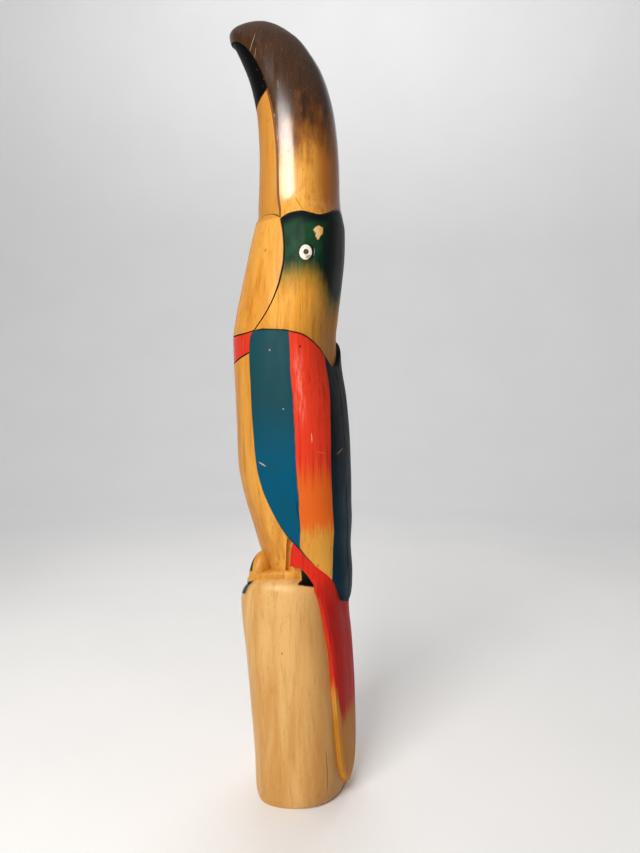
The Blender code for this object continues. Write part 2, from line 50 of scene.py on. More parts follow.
# Level sections: height, breast side, back, widest place, half width, and how square the front
# and the back halves are
STUMP_DRAWING = (
    (-303, -60.5, 56.5, -19, 68.0, 2.2, 2.1),
    (-297, -64.0, 59.0, -19, 69.0, 2.1, 2.4),
    (-258, -66.0, 62.5, -19, 69.0, 2.1, 2.8),
    (-188, -72.8, 60.6, -20, 68.8, 2.1, 3.0),
    (-98, -82.4, 55.4, -22, 68.0, 2.1, 3.0),
    (-55, -88.3, 51.0, -23, 67.5, 2.1, 3.0),
    (-28, -89.2, 50.4, -24, 67.0, 2.1, 3.0),
    (-13, -88.0, 51.0, -24, 66.0, 2.1, 3.0),
    (-5, -85.8, 52.0, -24, 62.6, 2.1, 3.0),
    (-1, -82.5, 52.5, -24, 57.5, 2.1, 3.0),
    (0, -79.5, 52.5, -24, 53.0, 2.1, 3.0),
)
BIRD_DRAWING = (
    (0, -48.0, 51.0, 4, 43.0, 2.2, 2.8),
    (17, -56.0, 53.0, 4, 45.0, 2.2, 2.8),
    (42, -64.3, 56.8, 2, 51.0, 2.2, 2.8),
    (71, -72.5, 57.2, 0, 57.0, 2.2, 2.8),
    (99, -81.7, 55.7, -2, 62.0, 2.2, 2.8),
    (127, -88.5, 55.0, -4, 65.5, 2.2, 2.8),
    (155, -93.0, 53.8, -5, 67.0, 2.2, 2.8),
    (183, -93.9, 52.5, -6, 67.5, 2.2, 2.8),
    (239, -95.6, 47.5, -8, 67.5, 2.2, 2.8),
    (294, -98.7, 38.5, -8, 66.0, 2.2, 2.8),
    (322, -99.5, 37.4, -8, 65.0, 2.2, 2.7),
    (349, -96.2, 40.7, -2, 63.0, 2.2, 2.6),
    (389, -87.4, 46.2, 8, 60.0, 2.2, 2.5),
    (443, -74.8, 51.4, 17, 56.5, 2.2, 2.5),
    (468, -68.3, 52.0, 16, 53.5, 2.2, 2.5),
    (484, -64.8, 50.6, 9, 49.8, 2.1, 2.3),
    (496, -64.8, 49.0, 1, 47.0, 2.1, 2.2),
    (509, -64.0, 48.6, -4, 46.0, 2.1, 2.1),
    (535, -62.6, 48.1, -6, 45.5, 2.1, 2.1),
    (562, -62.2, 46.8, -7, 45.0, 2.1, 2.1),
    (588, -63.0, 44.4, -9, 45.0, 2.1, 2.1),
    (614, -65.0, 40.8, -11, 44.8, 2.1, 2.1),
    (641, -70.0, 34.2, -16, 43.8, 2.1, 2.1),
    (668, -77.8, 24.5, -25, 42.2, 2.1, 2.1),
    (696, -90.0, 8.0, -39, 38.8, 2.1, 2.1),
    (710.6, -97.5, -3.0, -50, 35.2, 2.1, 2.1),
    (723.1, -104.8, -16.2, -61, 30.5, 2.0, 2.0),
    (732.8, -106.8, -29.0, -68, 24.5, 2.0, 2.0),
    (739.6, -104.2, -41.0, -71, 17.5, 2.0, 2.0),
    (744, -97.0, -53.0, -73, 10.0, 2.0, 2.0),
    (745.8, -81.0, -69.0, -75, 4.0, 2.0, 2.0),
)
UNDER_WING_TIP = (
    (-53, -35.0, 58.5, 4, 44.0, 2.2, 2.8),
    (0, -40.0, 59.8, 4, 47.5, 2.2, 2.8),
)
UNDER_TAIL_ROOT = (
    (0, -60.0, 52.0, 0, 58.0, 2.2, 3.0),
    (22, -56.0, 52.6, 2, 48.0, 2.2, 3.0),
    (47, -56.0, 54.0, 2, 46.5, 2.2, 3.0),
    (80, -56.0, 50.0, 2, 46.0, 2.2, 3.0),
)
WING_MEETS_BODY = 42
TAIL_LEAVES_STUMP = -13

# Carved and painted lines: height, share of the way round
WING_TOP = ((330, 0.415), (331.5, 0.472), (331, 0.537), (330, 0.610), (328, 0.652), (325.5, 0.701),
            (319.5, 0.753), (310, 0.813), (299.5, 0.864), (286, 0.950), (283, 1.0))
WING_EDGE = ((330, 0.415), (322, 0.392), (303, 0.382), (271, 0.380), (226, 0.376), (188, 0.381),
             (156, 0.390), (124, 0.411), (97, 0.446), (75, 0.482), (60, 0.526), (49, 0.575),
             (37, 0.617), (28.5, 0.651), (21.5, 0.684), (14, 0.721), (3, 0.774), (-11, 0.831),
             (-19, 0.867), (-30, 0.922), (-34, 0.975))
WING_TIP = -35
TAIL_EDGE = ((-287, 0.985), (-285, 0.955), (-280, 0.920), (-272.5, 0.897), (-264, 0.880), (-246, 0.856),
             (-215, 0.838), (-180, 0.830), (-139, 0.820), (-86, 0.814), (-53, 0.797), (-24, 0.770),
             (-13, 0.750), (-3, 0.702), (7, 0.664), (16, 0.620), (21, 0.578), (23, 0.500), (50, 0.504),
             (70, 0.56))
BEAK_EDGE = ((479, 0.447), (535, 0.439), (582, 0.429), (610, 0.415), (640, 0.394), (669, 0.372),
             (684, 0.350), (698, 0.322), (707.7, 0.279), (715.4, 0.210), (719.8, 0.120), (721.2, 0.040))
THROAT_TOP = ((475.0, 0.0), (476.7, 0.173), (480.5, 0.295), (479.4, 0.366), (473.2, 0.448))
THROAT_LINE = ((471.8, 0.452), (454, 0.487), (429, 0.515), (412, 0.524), (393, 0.520), (374, 0.504),
               (357, 0.477), (343, 0.442), (330, 0.402))
BAND_TOP = ((330, 0.402), (327, 0.326), (325.5, 0.234), (324, 0.11), (323, 0.0))
BAND_FOOT = ((303.5, 0.385), (300, 0.340), (296, 0.283), (291, 0.210), (286, 0.10), (284, 0.0))
CAP_TOP = ((470.0, 0.440), (471.8, 0.452), (477.1, 0.513), (478.8, 0.605), (475.7, 0.676),
           (473.5, 0.732), (477.2, 0.799), (483.4, 0.882), (489.0, 1.0))
BEAK_TIP_PAINT = ((645.0, 0.40), (639.5, 0.380), (632.0, 0.290), (625.0, 0.185), (620.0, 0.0))
BLUE_MEETS_RED = ((334, 0.637), (315.8, 0.645), (248.4, 0.636), (181.8, 0.632), (124.4, 0.631),
                  (40, 0.588))
RED_MEETS_NAVY = ((315, 0.866), (299.6, 0.868), (271.2, 0.872), (226.2, 0.850), (156.9, 0.829),
                  (86.5, 0.824), (-10, 0.785))
EYE_PLACE = (425.8, 0.667)

# What stands proud or is cut in
WING_THICKNESS = 6.0
WING_RIM_ROUNDING = 3.4
TAIL_THICKNESS = 7.0
TAIL_RIM_ROUNDING = 1.6
SLAB_ROOT = 12.0
BEAK_STEP = 2.0
LINE_RADIUS = 1.05
LINE_SUNK = 0.25
FOOT_LENGTH = 85.5
FOOT_WIDTH = 44.0
CREST_PLACE = -8.0
CREST_RISE = 2.8
FALL_AHEAD = 0.0045
FALL_BEHIND = 0.0020
STUMP_BEND = 60.0
LEG_BEND = 20.0
FOOT_THICKNESS = 10.5
FOOT_SET_BACK = 0.237
FOOT_SQUARENESS = 2.8
FOOT_SUNK = 0.6
INSTEP_AHEAD = 0.282
INSTEP_HALF_SIZES = (0.44, 0.20, 3.1)
TOE_GAP = 14.0
LEG_HOLLOW_RADIUS = 5.5
LEG_HOLLOW_SHARE = 0.455
LEG_HOLLOW_LEAN = 0.070
LEG_HOLLOW_TOP = 60.0
LEG_NOTCH_RADIUS = 8.0
EYE_RADIUS = 10.0
EYE_THICKNESS = 6.0
EYE_PROUD = 1.2
EYE_TURN = math.radians(4.0)
PUPIL_RADIUS = 3.0
PUPIL_THICKNESS = 3.0
PUPIL_PROUD = 0.5
GAP = 0.3

# Fineness
COLUMNS = 176
ROW_STEP = 3.2
SHARES = 480
CORNERS = 240

# The order of the carving's finishes on each of its meshes
BARE, WING, TAIL, LINE, BEAK, HEAD = range(6)


def smooth_column(rows, column, places):
    """Read a column of the rows at any places, on a smooth curve that never overshoots."""
    knots, values = rows[:, 0], rows[:, column]
    steps = np.diff(knots)
    slopes = np.diff(values) / steps
    before, after = slopes[:-1], slopes[1:]
    near, far = 2 * steps[1:] + steps[:-1], steps[1:] + 2 * steps[:-1]
    same_way = before * after > 0
    tangents = np.concatenate([slopes[:1], np.zeros(len(before)), slopes[-1:]])
    inner = tangents[1:-1]
    inner[same_way] = ((near + far)[same_way]
                       / (near[same_way] / before[same_way] + far[same_way] / after[same_way]))
    index = np.clip(np.searchsorted(knots, places, side="right") - 1, 0, len(steps) - 1)
    t = np.clip((places - knots[index]) / steps[index], 0.0, 1.0)
    return ((2 * t**3 - 3 * t**2 + 1) * values[index]
            + (t**3 - 2 * t**2 + t) * tangents[index] * steps[index]
            + (3 * t**2 - 2 * t**3) * values[index + 1]
            + (t**3 - t**2) * tangents[index + 1] * steps[index])


def between(table, row, column):
    """Read a table at broken row and column numbers."""
    low_row = np.clip(np.floor(row).astype(int), 0, table.shape[0] - 2)
    low_column = np.clip(np.floor(column).astype(int), 0, table.shape[1] - 2)
    down = np.clip(row - low_row, 0.0, 1.0)
    along = np.clip(column - low_column, 0.0, 1.0)
    if table.ndim == 3:
        down, along = down[..., None], along[..., None]
    upper = table[low_row, low_column] * (1 - along) + table[low_row, low_column + 1] * along
    lower = table[low_row + 1, low_column] * (1 - along) + table[low_row + 1, low_column + 1] * along
    return upper * (1 - down) + lower * down


class Form:
    """A smooth stack of level sections, one for each millimetre of height."""

    def __init__(self, drawing):
        self.drawing = np.array(drawing, float)
        self.low = math.floor(self.drawing[0, 0])
        self.high = self.drawing[-1, 0]
        heights = np.append(np.arange(self.low, math.ceil(self.high)), self.high)
        points, lengths = self.outlines(heights)
        self.girths = lengths[:, -1]
        self.parts = lengths / self.girths[:, None]
        even = np.linspace(0.0, 1.0, SHARES + 1)
        self.skins = np.array([[np.interp(even, part, outline[:, axis]) for axis in (0, 1)]
                               for part, outline in zip(self.parts, points)]).transpose(0, 2, 1)
        along = np.gradient(self.skins, axis=1)
        along[:, 0], along[:, -1] = (1.0, 0.0), (-1.0, 0.0)
        outward = np.stack([along[..., 1], -along[..., 0]], -1)
        self.outward = outward / np.linalg.norm(outward, axis=-1, keepdims=True)

    def sizes(self, heights):
        """The six drawn sizes of the level sections at any heights."""
        return [smooth_column(self.drawing, column, heights) for column in range(1, 7)]

    def girth(self, height):
        """The half way round at any heights."""
        return np.interp(height, self.low + np.arange(len(self.girths)), self.girths)

    def outlines(self, heights):
        """Half of each level section from breast to back, and the length up to each point."""
        front, back, widest, half, front_square, back_square = (
            size[:, None] for size in self.sizes(heights))
        angle = np.linspace(0.0, math.pi, CORNERS + 1)[None, :]
        ahead = angle < math.pi / 2
        reach = np.where(ahead, widest - front, back - widest)
        power = 2 / np.where(ahead, front_square, back_square)
        across = half * np.abs(np.sin(angle)) ** power
        across[:, [0, -1]] = 0.0
        along = widest - reach * np.sign(np.cos(angle)) * np.abs(np.cos(angle)) ** power
        points = np.stack([across, along], -1)
        runs = np.linalg.norm(np.diff(points, axis=1), axis=-1)
        return points, np.concatenate([np.zeros((len(runs), 1)), np.cumsum(runs, axis=1)], axis=1)

    def skin(self, height, share, proud=0.0):
        """Points of the surface, in millimetres from the stump's top."""
        height, share, proud = np.broadcast_arrays(*(np.asarray(v, float) for v in (height, share, proud)))
        share = share % 2
        side = np.where(share > 1, -1.0, 1.0)
        column = np.where(share > 1, 2 - share, share) * SHARES
        place = between(self.skins, height - self.low, column)
        place = place + between(self.outward, height - self.low, column) * proud[..., None]
        return np.stack([side * place[..., 0], place[..., 1], height], -1)

    def address(self, points):
        """The share of the way round of points near the surface, and the half way round there."""
        height = np.clip(points[:, 2], self.low, self.high)
        front, back, widest, half, front_square, back_square = self.sizes(height)
        ahead = points[:, 1] < widest
        reach = np.where(ahead, widest - front, back - widest)
        square = np.where(ahead, front_square, back_square)
        sine = (np.abs(points[:, 0]) / half) ** (square / 2)
        cosine = (np.abs(points[:, 1] - widest) / reach) ** (square / 2)
        angle = np.arctan2(sine, np.where(ahead, cosine, -cosine))
        share = between(self.parts, height - self.low, angle / math.pi * CORNERS)
        return share, self.girth(height)


STUMP = Form(STUMP_DRAWING)
BIRD = Form(BIRD_DRAWING)
UNDER_WING = Form(UNDER_WING_TIP + tuple(row for row in BIRD_DRAWING if row[0] >= WING_MEETS_BODY))
UNDER_TAIL = Form(tuple(row for row in STUMP_DRAWING if row[0] <= TAIL_LEAVES_STUMP) + UNDER_TAIL_ROOT)


def trace(line, parts):
    """Places part of the way along a drawn line, on a smooth curve: heights and shares."""
    usual_girth = 220.0
    line = np.array(line, float)
    runs = np.hypot(np.diff(line[:, 0]), np.diff(line[:, 1]) * usual_girth)
    rows = np.column_stack([np.concatenate([[0.0], np.cumsum(runs)]), line])
    places = np.asarray(parts, float) * rows[-1, 0]
    return smooth_column(rows, 1, places), smooth_column(rows, 2, places)


def off_line(height, share, girth, line, knots=70):
    """Distance over the surface from a drawn line. It is positive on the line's back side where
    the line climbs, and below the line where it runs from breast to back."""
    heights, shares = trace(line, np.linspace(0.0, 1.0, knots))
    nearest = np.full(len(height), np.inf)
    signed = np.zeros(len(height))
    for k in range(knots - 1):
        rise, run = heights[k + 1] - heights[k], (shares[k + 1] - shares[k]) * girth
        up, over = height - heights[k], (share - shares[k]) * girth
        part = np.clip((up * rise + over * run) / (rise**2 + run**2), 0.0, 1.0)
        gap = np.hypot(up - part * rise, over - part * run)
        closer = gap < nearest
        nearest[closer] = gap[closer]
        signed[closer] = np.where(rise * over - run * up >= 0, gap, -gap)[closer]
    return signed


def read_points(thing):
    """An object's points as rows of three numbers."""
    points = np.empty(len(thing.data.vertices) * 3)
    thing.data.vertices.foreach_get("co", points)
    return points.reshape(-1, 3)


def write_points(thing, points):
    """Put an object's points at new places."""
    thing.data.vertices.foreach_set("co", np.ascontiguousarray(points, float).ravel())
    thing.data.update()


def to_metres(points):
    """Drawn places as places of the frame."""
    return (points + (0.0, 0.0, STUMP_HEIGHT)) * MM


def to_drawing(points):
    """Places of the frame as drawn places."""
    return points / MM - (0.0, 0.0, STUMP_HEIGHT)


def pick(thing):
    """Select one object alone and make it the active one."""
    bpy.ops.object.select_all(action="DESELECT")
    thing.select_set(True)
    bpy.context.view_layer.objects.active = thing


def edit_all(thing):
    """Open one object for editing with everything on it selected."""
    pick(thing)
    bpy.ops.object.mode_set(mode="EDIT")
    bpy.ops.mesh.select_all(action="SELECT")


def edit_faces(thing, wanted):
    """Open one object for editing with only the wanted faces selected."""
    edit_all(thing)
    bpy.ops.mesh.select_all(action="DESELECT")
    bpy.ops.object.mode_set(mode="OBJECT")
    for face in thing.data.polygons:
        face.select = bool(wanted(face))
    bpy.ops.object.mode_set(mode="EDIT")


def close_up(thing):
    """Merge what coincides, fill open ends and turn all faces outwards."""
    edit_all(thing)
    bpy.ops.mesh.remove_doubles(threshold=0.00001)
    bpy.ops.mesh.fill_holes(sides=0)
    bpy.ops.mesh.normals_make_consistent(inside=False)
    bpy.ops.object.mode_set(mode="OBJECT")


def wear_finish(thing, finishes, which):
    """Give an object the carving's finishes, with one of them on all of its faces."""
    for finish in finishes:
        thing.data.materials.append(finish)
    thing.data.polygons.foreach_set("material_index", [which] * len(thing.data.polygons))


def grid(name, columns, rows):
    """A flat grid, to be laid on a form."""
    bpy.ops.object.select_all(action="DESELECT")
    bpy.ops.mesh.primitive_grid_add(x_subdivisions=columns, y_subdivisions=rows, size=2)
    bpy.context.object.name = name
    return bpy.context.object


def rolled_sheet(name, columns, rows, place):
    """Roll a grid into a closed skin. place turns the grid's two shares into drawn points."""
    thing = grid(name, columns, rows)
    points = read_points(thing)
    write_points(thing, to_metres(place((points[:, 0] + 1) / 2, (points[:, 1] + 1) / 2)))
    close_up(thing)
    return thing


def slab(name, columns, rows, place):
    """Extrude a grid into a slab and lay it on the carving. place turns the two shares of the
    grid, and whether a point is on the slab's underside, into drawn points."""
    thing = grid(name, columns, rows)
    edit_all(thing)
    bpy.ops.mesh.extrude_region_move(TRANSFORM_OT_translate={"value": (0, 0, -1)})
    bpy.ops.object.mode_set(mode="OBJECT")
    points = read_points(thing)
    write_points(thing, to_metres(place(
        (points[:, 0] + 1) / 2, (points[:, 1] + 1) / 2, points[:, 2] < -0.5)))
    close_up(thing)
    return thing


def rounded(lift, rounding, inward):
    """How proud a slab stands at a distance in from its rounded rim."""
    inward = np.minimum(np.abs(inward), rounding)
    return lift - rounding + np.sqrt(rounding**2 - (rounding - inward) ** 2)


def finer_to_zero(share):
    """Crowd even shares towards zero, where a rim needs more points."""
    return 0.35 * share + 0.65 * share**2.6


def fall(depth):
    """How far the stump's top lies above or below its level at places along the bird's length."""
    away = depth - CREST_PLACE
    return CREST_RISE - np.where(away < 0, FALL_AHEAD, FALL_BEHIND) * away**2


def saddle(points, amount=1.0):
    """Move points up or down with the stump's top, by all of its fall or by an amount of it."""
    return points + np.stack([np.zeros(len(points))] * 2 + [fall(points[:, 1]) * amount], -1)


def unbent(points):
    """The drawn heights of points near the stump's top, before it was bent."""
    height, drop = points[:, 2], fall(points[:, 1])
    below = (height - drop) / (1 + drop / STUMP_BEND)
    above = (height - drop) / (1 - drop / LEG_BEND)
    level = np.where(height < drop, below, above)
    return np.where((level > -STUMP_BEND) & (level < LEG_BEND), level, height)


def stripe_flat_faces(pad):
    """Divide a pad's flat faces across its length, so that they can bend."""
    edit_all(pad)
    for stripe in range(-9, 10):
        middle = BIRD_DRAWING[0][1] + FOOT_LENGTH * (FOOT_SET_BACK + stripe / 20)
        bpy.ops.mesh.select_all(action="SELECT")
        bpy.ops.mesh.bisect(plane_co=(0, middle * MM, 0), plane_no=(0, 1, 0))
    bpy.ops.object.mode_set(mode="OBJECT")


def carved_block():
    """The stump and the bird in one skin of level sections, closed by a small dome."""
    stump_top = [-12.0, -10.0, -8.0, -6.5, -5.0, -4.0, -3.0, -2.2, -1.5, -1.0, -0.6, -0.25, 0.0]
    stump = np.concatenate([[-303.0, -302.4, -301.5, -300.3, -298.8], np.arange(-297.0, -13.0, ROW_STEP),
                            stump_top])
    bird_top = np.array([734.1, 736.0, 737.7, 739.3, 740.7, 742.0, 743.1, 744.0, 744.7, 745.3, 745.8])
    bird = np.concatenate([np.arange(0.0, 733.0, ROW_STEP), bird_top])
    dome = np.array([0.3, 0.55, 0.75, 0.9, 0.98])
    total = len(stump) + len(bird) + len(dome)

    def place(around, up):
        row = np.rint(up * (total - 1)).astype(int)
        share = 2 * around
        height = np.concatenate([stump, bird, np.full(len(dome), bird[-1])])[row]
        points = np.where((row < len(stump))[:, None], STUMP.skin(height, share), BIRD.skin(height, share))
        part = np.concatenate([np.zeros(len(stump) + len(bird)), dome])[row][:, None]
        crown = np.array([0.0, BIRD_DRAWING[-1][3], 0.0])
        level_part = points * (1, 1, 0)
        drawn_in = crown + (level_part - crown) * (1 - part) ** 0.5
        domed = drawn_in + (points + (0, 0, 1) * part * 0.7) * (0, 0, 1)
        bend = np.where(row < len(stump), STUMP_BEND, LEG_BEND)
        return saddle(domed, np.maximum(0.0, 1 - np.abs(height) / bend))

    return rolled_sheet("toucan_carving", COLUMNS, total - 1, place)


def wing_pair():
    """Both folded wings, which meet along the middle of the back."""
    top_start, top_end = (np.array(trace(WING_TOP, end)) for end in (0.0, 1.0))

    def place(around, up, under):
        across = finer_to_zero(1 - np.abs(2 * around - 1))
        part = 1 - finer_to_zero(up)
        part = np.where(part < 0.5, finer_to_zero(part * 2) / 2, part)
        edge = np.stack(trace(WING_EDGE, part))
        middle = np.stack([top_end[0] + (WING_TIP - top_end[0]) * part, np.ones(len(part))])
        bow = (np.stack(trace(WING_TOP, across)) - top_start[:, None]
               - (top_end - top_start)[:, None] * across)
        height, share = edge + (middle - edge) * across + bow * (1 - part)
        girth = UNDER_WING.girth(height)
        inward = np.minimum(np.abs(off_line(height, share, girth, WING_EDGE)),
                            np.abs(off_line(height, share, girth, WING_TOP)))
        proud = np.where(under, -SLAB_ROOT, rounded(WING_THICKNESS, WING_RIM_ROUNDING, inward))
        return UNDER_WING.skin(height, np.where(around > 0.5, 2 - share, share), proud)

    return slab("wing_pair", 150, 130, place)


def tail():
    """The tail, a tongue carved proud of the stump's back."""

    def place(around, up, under):
        across = finer_to_zero(1 - np.abs(2 * around - 1))
        height, edge = trace(TAIL_EDGE, up)
        share = edge + (1 - edge) * across
        inward = off_line(height, share, UNDER_TAIL.girth(height), TAIL_EDGE)
        proud = np.where(under, -SLAB_ROOT * 2 / 3, rounded(TAIL_THICKNESS, TAIL_RIM_ROUNDING, inward))
        return UNDER_TAIL.skin(height, np.where(around > 0.5, 2 - share, share), proud)

    return slab("tail", 60, 150, place)


def mandible_relief():
    """What is taken off the lower beak, so that the upper beak stands over it."""
    throat = np.array([(share, height) for height, share in THROAT_TOP], float)

    def place(around, up, under):
        height, edge = trace(BEAK_EDGE, up)
        share = (2 * around - 1) * edge
        lowered = smooth_column(throat, 1, np.abs(share)) - BEAK_EDGE[0][0]
        height = height + lowered * (1 - up) ** 6
        return BIRD.skin(height, share, np.where(under, -BEAK_STEP, 4 * BEAK_STEP))

    return slab("mandible_relief", 50, 90, place)


def groove(name, points, radius):
    """A round bar through drawn points, to cut a groove or a hollow."""
    data = bpy.data.curves.new(name, "CURVE")
    data.dimensions = "3D"
    data.bevel_depth = radius * MM
    data.bevel_resolution = 3
    data.use_fill_caps = True
    spline = data.splines.new("POLY")
    spline.points.add(len(points) - 1)
    for knot, place in zip(spline.points, to_metres(np.asarray(points))):
        knot.co = (*place, 1.0)
    route = bpy.data.objects.new(name, data)
    bpy.context.scene.collection.objects.link(route)
    pick(route)
    bpy.ops.object.convert(target="MESH")
    bar = bpy.context.object
    close_up(bar)
    return bar


def drawn_grooves():
    """The cut lines under the cheek, round the breast band and along the beak's step."""
    bars = []
    for name, line, meets_breast in (("throat_line", THROAT_LINE, False), ("band_top", BAND_TOP, True),
                                     ("band_foot", BAND_FOOT, True)):
        heights, shares = trace(line, np.linspace(0.0, 1.0, 60))
        left = BIRD.skin(heights, shares, -LINE_SUNK)
        right = left * (-1, 1, 1)
        if meets_breast:
            bars.append(groove(name, np.concatenate([left, right[-2::-1]]), LINE_RADIUS))
        else:
            bars += [groove(name + "_left", left, LINE_RADIUS), groove(name + "_right", right, LINE_RADIUS)]
    heights, shares = trace(BEAK_EDGE, np.linspace(0.0, 1.0, 90))
    left = BIRD.skin(heights, shares, -BEAK_STEP + LINE_SUNK)
    right = left * (-1, 1, 1)
    bars.append(groove("beak_line", np.concatenate([left, right[::-1]]), LINE_RADIUS * 0.8))
    return bars


def between_wings():
    """The shallow line where the two wings meet on the back."""
    heights = np.linspace(WING_TOP[-1][0] + 3, WING_TIP - 3, 90)
    return groove("between_wings", UNDER_WING.skin(heights, 1.0, WING_THICKNESS + LINE_RADIUS * 0.55),
                  LINE_RADIUS)


def feet():
    """Two low pads with softened upper edges, and the insteps that join them to the legs."""
    aside = (TOE_GAP + FOOT_WIDTH) / 2
    middle = BIRD_DRAWING[0][1] + FOOT_LENGTH * FOOT_SET_BACK
    pads = []
    for side in (1, -1):
        bpy.ops.mesh.primitive_cylinder_add(vertices=96, radius=1.0, depth=1.0)
        pad = bpy.context.object
        pad.name = "foot"
        points = read_points(pad)
        turn = np.arctan2(points[:, 1], points[:, 0])
        squareness = 2 / FOOT_SQUARENESS
        points[:, 0] = np.sign(np.cos(turn)) * np.abs(np.cos(turn)) ** squareness * FOOT_WIDTH / 2
        points[:, 1] = np.sign(np.sin(turn)) * np.abs(np.sin(turn)) ** squareness * FOOT_LENGTH / 2
        points[:, 2] = np.where(points[:, 2] > 0, FOOT_THICKNESS, -FOOT_THICKNESS * FOOT_SUNK)
        write_points(pad, to_metres(points + (side * aside, middle, 0.0)))
        edit_faces(pad, lambda face: face.normal.z > 0.9)
        bpy.ops.mesh.bevel(offset=FOOT_THICKNESS * 0.5 * MM, segments=6, profile=0.5)
        bpy.ops.object.mode_set(mode="OBJECT")
        stripe_flat_faces(pad)
        write_points(pad, to_metres(saddle(to_drawing(read_points(pad)))))
        pads.append(pad)
        bpy.ops.mesh.primitive_uv_sphere_add(segments=64, ring_count=32, radius=1.0)
        dome = bpy.context.object
        dome.name = "instep"
        sizes = np.array([FOOT_WIDTH, FOOT_LENGTH, FOOT_THICKNESS]) * INSTEP_HALF_SIZES
        points = read_points(dome) * sizes
        points = points + (side * aside, middle - FOOT_LENGTH * INSTEP_AHEAD, FOOT_THICKNESS / 2)
        write_points(dome, to_metres(saddle(points)))
        pads.append(dome)
    return pads


def leg_hollows():
    """The hollow between each leg and the tail, and the notch between the legs."""
    heights = np.linspace(0.9, LEG_HOLLOW_TOP, 14)
    above_foot = np.linspace(FOOT_THICKNESS, LEG_HOLLOW_TOP, len(heights))
    shares = LEG_HOLLOW_SHARE + np.linspace(0.0, LEG_HOLLOW_LEAN, len(heights))
    left = BIRD.skin(above_foot, shares, -LEG_HOLLOW_RADIUS / 2)
    return [groove("leg_hollow_left", left, LEG_HOLLOW_RADIUS),
            groove("leg_hollow_right", left * (-1, 1, 1), LEG_HOLLOW_RADIUS),
            groove("leg_notch", BIRD.skin(heights, 0.0, LEG_NOTCH_RADIUS / 4), LEG_NOTCH_RADIUS)]


def eye_seat(side):
    """Where an eye sits on the cheek, and the way it faces, in the frame's metres."""
    height, share = EYE_PLACE
    seat = to_metres(BIRD.skin(height, share if side > 0 else 2 - share))
    return Vector(seat), Vector((side * math.cos(EYE_TURN), -math.sin(EYE_TURN), 0.0))


def round_bar(name, centre, facing, radius, length, sides=96):
    """A plain round bar along a direction."""
    bpy.ops.object.select_all(action="DESELECT")
    bpy.ops.mesh.primitive_cylinder_add(vertices=sides, radius=radius, depth=length, location=centre,
                                        rotation=facing.to_track_quat("Z", "Y").to_euler())
    bar = bpy.context.object
    bar.name = name
    bpy.ops.object.transform_apply(location=True, rotation=True, scale=True)
    return bar


def eye_beds():
    """The seats that the eyes are let into."""
    beds = []
    reach = 4 * EYE_THICKNESS * MM
    for side in (1, -1):
        seat, facing = eye_seat(side)
        floor = seat + facing * (EYE_PROUD - EYE_THICKNESS - GAP) * MM
        beds.append(round_bar("eye_bed", floor + facing * reach / 2, facing, (EYE_RADIUS + GAP) * MM, reach))
    return beds


def combine(body, tools, operation):
    """Join tools to the body, or cut the body with them, in one Boolean."""
    group = bpy.data.collections.new("tools")
    bpy.context.scene.collection.children.link(group)
    for tool in tools:
        for old in list(tool.users_collection):
            old.objects.unlink(tool)
        group.objects.link(tool)
    step = body.modifiers.new(operation, "BOOLEAN")
    step.solver = "MANIFOLD"
    step.operation = operation
    step.operand_type = "COLLECTION"
    step.collection = group
    pick(body)
    bpy.ops.object.modifier_apply(modifier=step.name)
    for tool in tools:
        bpy.data.objects.remove(tool, do_unlink=True)
    bpy.data.collections.remove(group)


def hand_worked(body):
    """Give the surface the slight waviness that gouge and rasp leave, but not the flat underside."""
    depth, spacing = 0.32, 0.038
    normals = np.empty(len(body.data.vertices) * 3)
    body.data.vertices.foreach_get("normal", normals)
    points = read_points(body)
    waves = np.array([noise.noise(Vector((x, y, z * 0.45)) / spacing) for x, y, z in points])
    calm = np.clip(points[:, 2] / 0.012, 0.0, 1.0)
    write_points(body, points + normals.reshape(-1, 3) * (waves * calm * depth * MM)[:, None])


def keep_places(body):
    """Store on each point how far it lies from each painted line, for the paint to follow."""
    points = to_drawing(read_points(body))
    height = unbent(points)
    points[:, 2] = height
    on_stump = height < 0
    share, girth = BIRD.address(points)
    stump_share, stump_girth = STUMP.address(points)
    share = np.where(on_stump, stump_share, share)
    girth = np.where(on_stump, stump_girth, girth)
    fields = {"share": share, "level": height}
    for name, line in (("below_cap_top", CAP_TOP), ("off_beak_edge", BEAK_EDGE),
                       ("off_tip_paint", BEAK_TIP_PAINT), ("off_blue", BLUE_MEETS_RED),
                       ("off_navy", RED_MEETS_NAVY), ("off_band_top", BAND_TOP),
                       ("off_band_foot", BAND_FOOT), ("off_throat", THROAT_LINE),
                       ("off_wing_edge", WING_EDGE), ("off_wing_top", WING_TOP),
                       ("off_tail_edge", TAIL_EDGE), ("off_throat_top", THROAT_TOP)):
        fields[name] = off_line(height, share, girth, line)
    for name, values in fields.items():
        body.data.attributes.new(name, "FLOAT", "POINT").data.foreach_set("value", values.astype(np.float32))


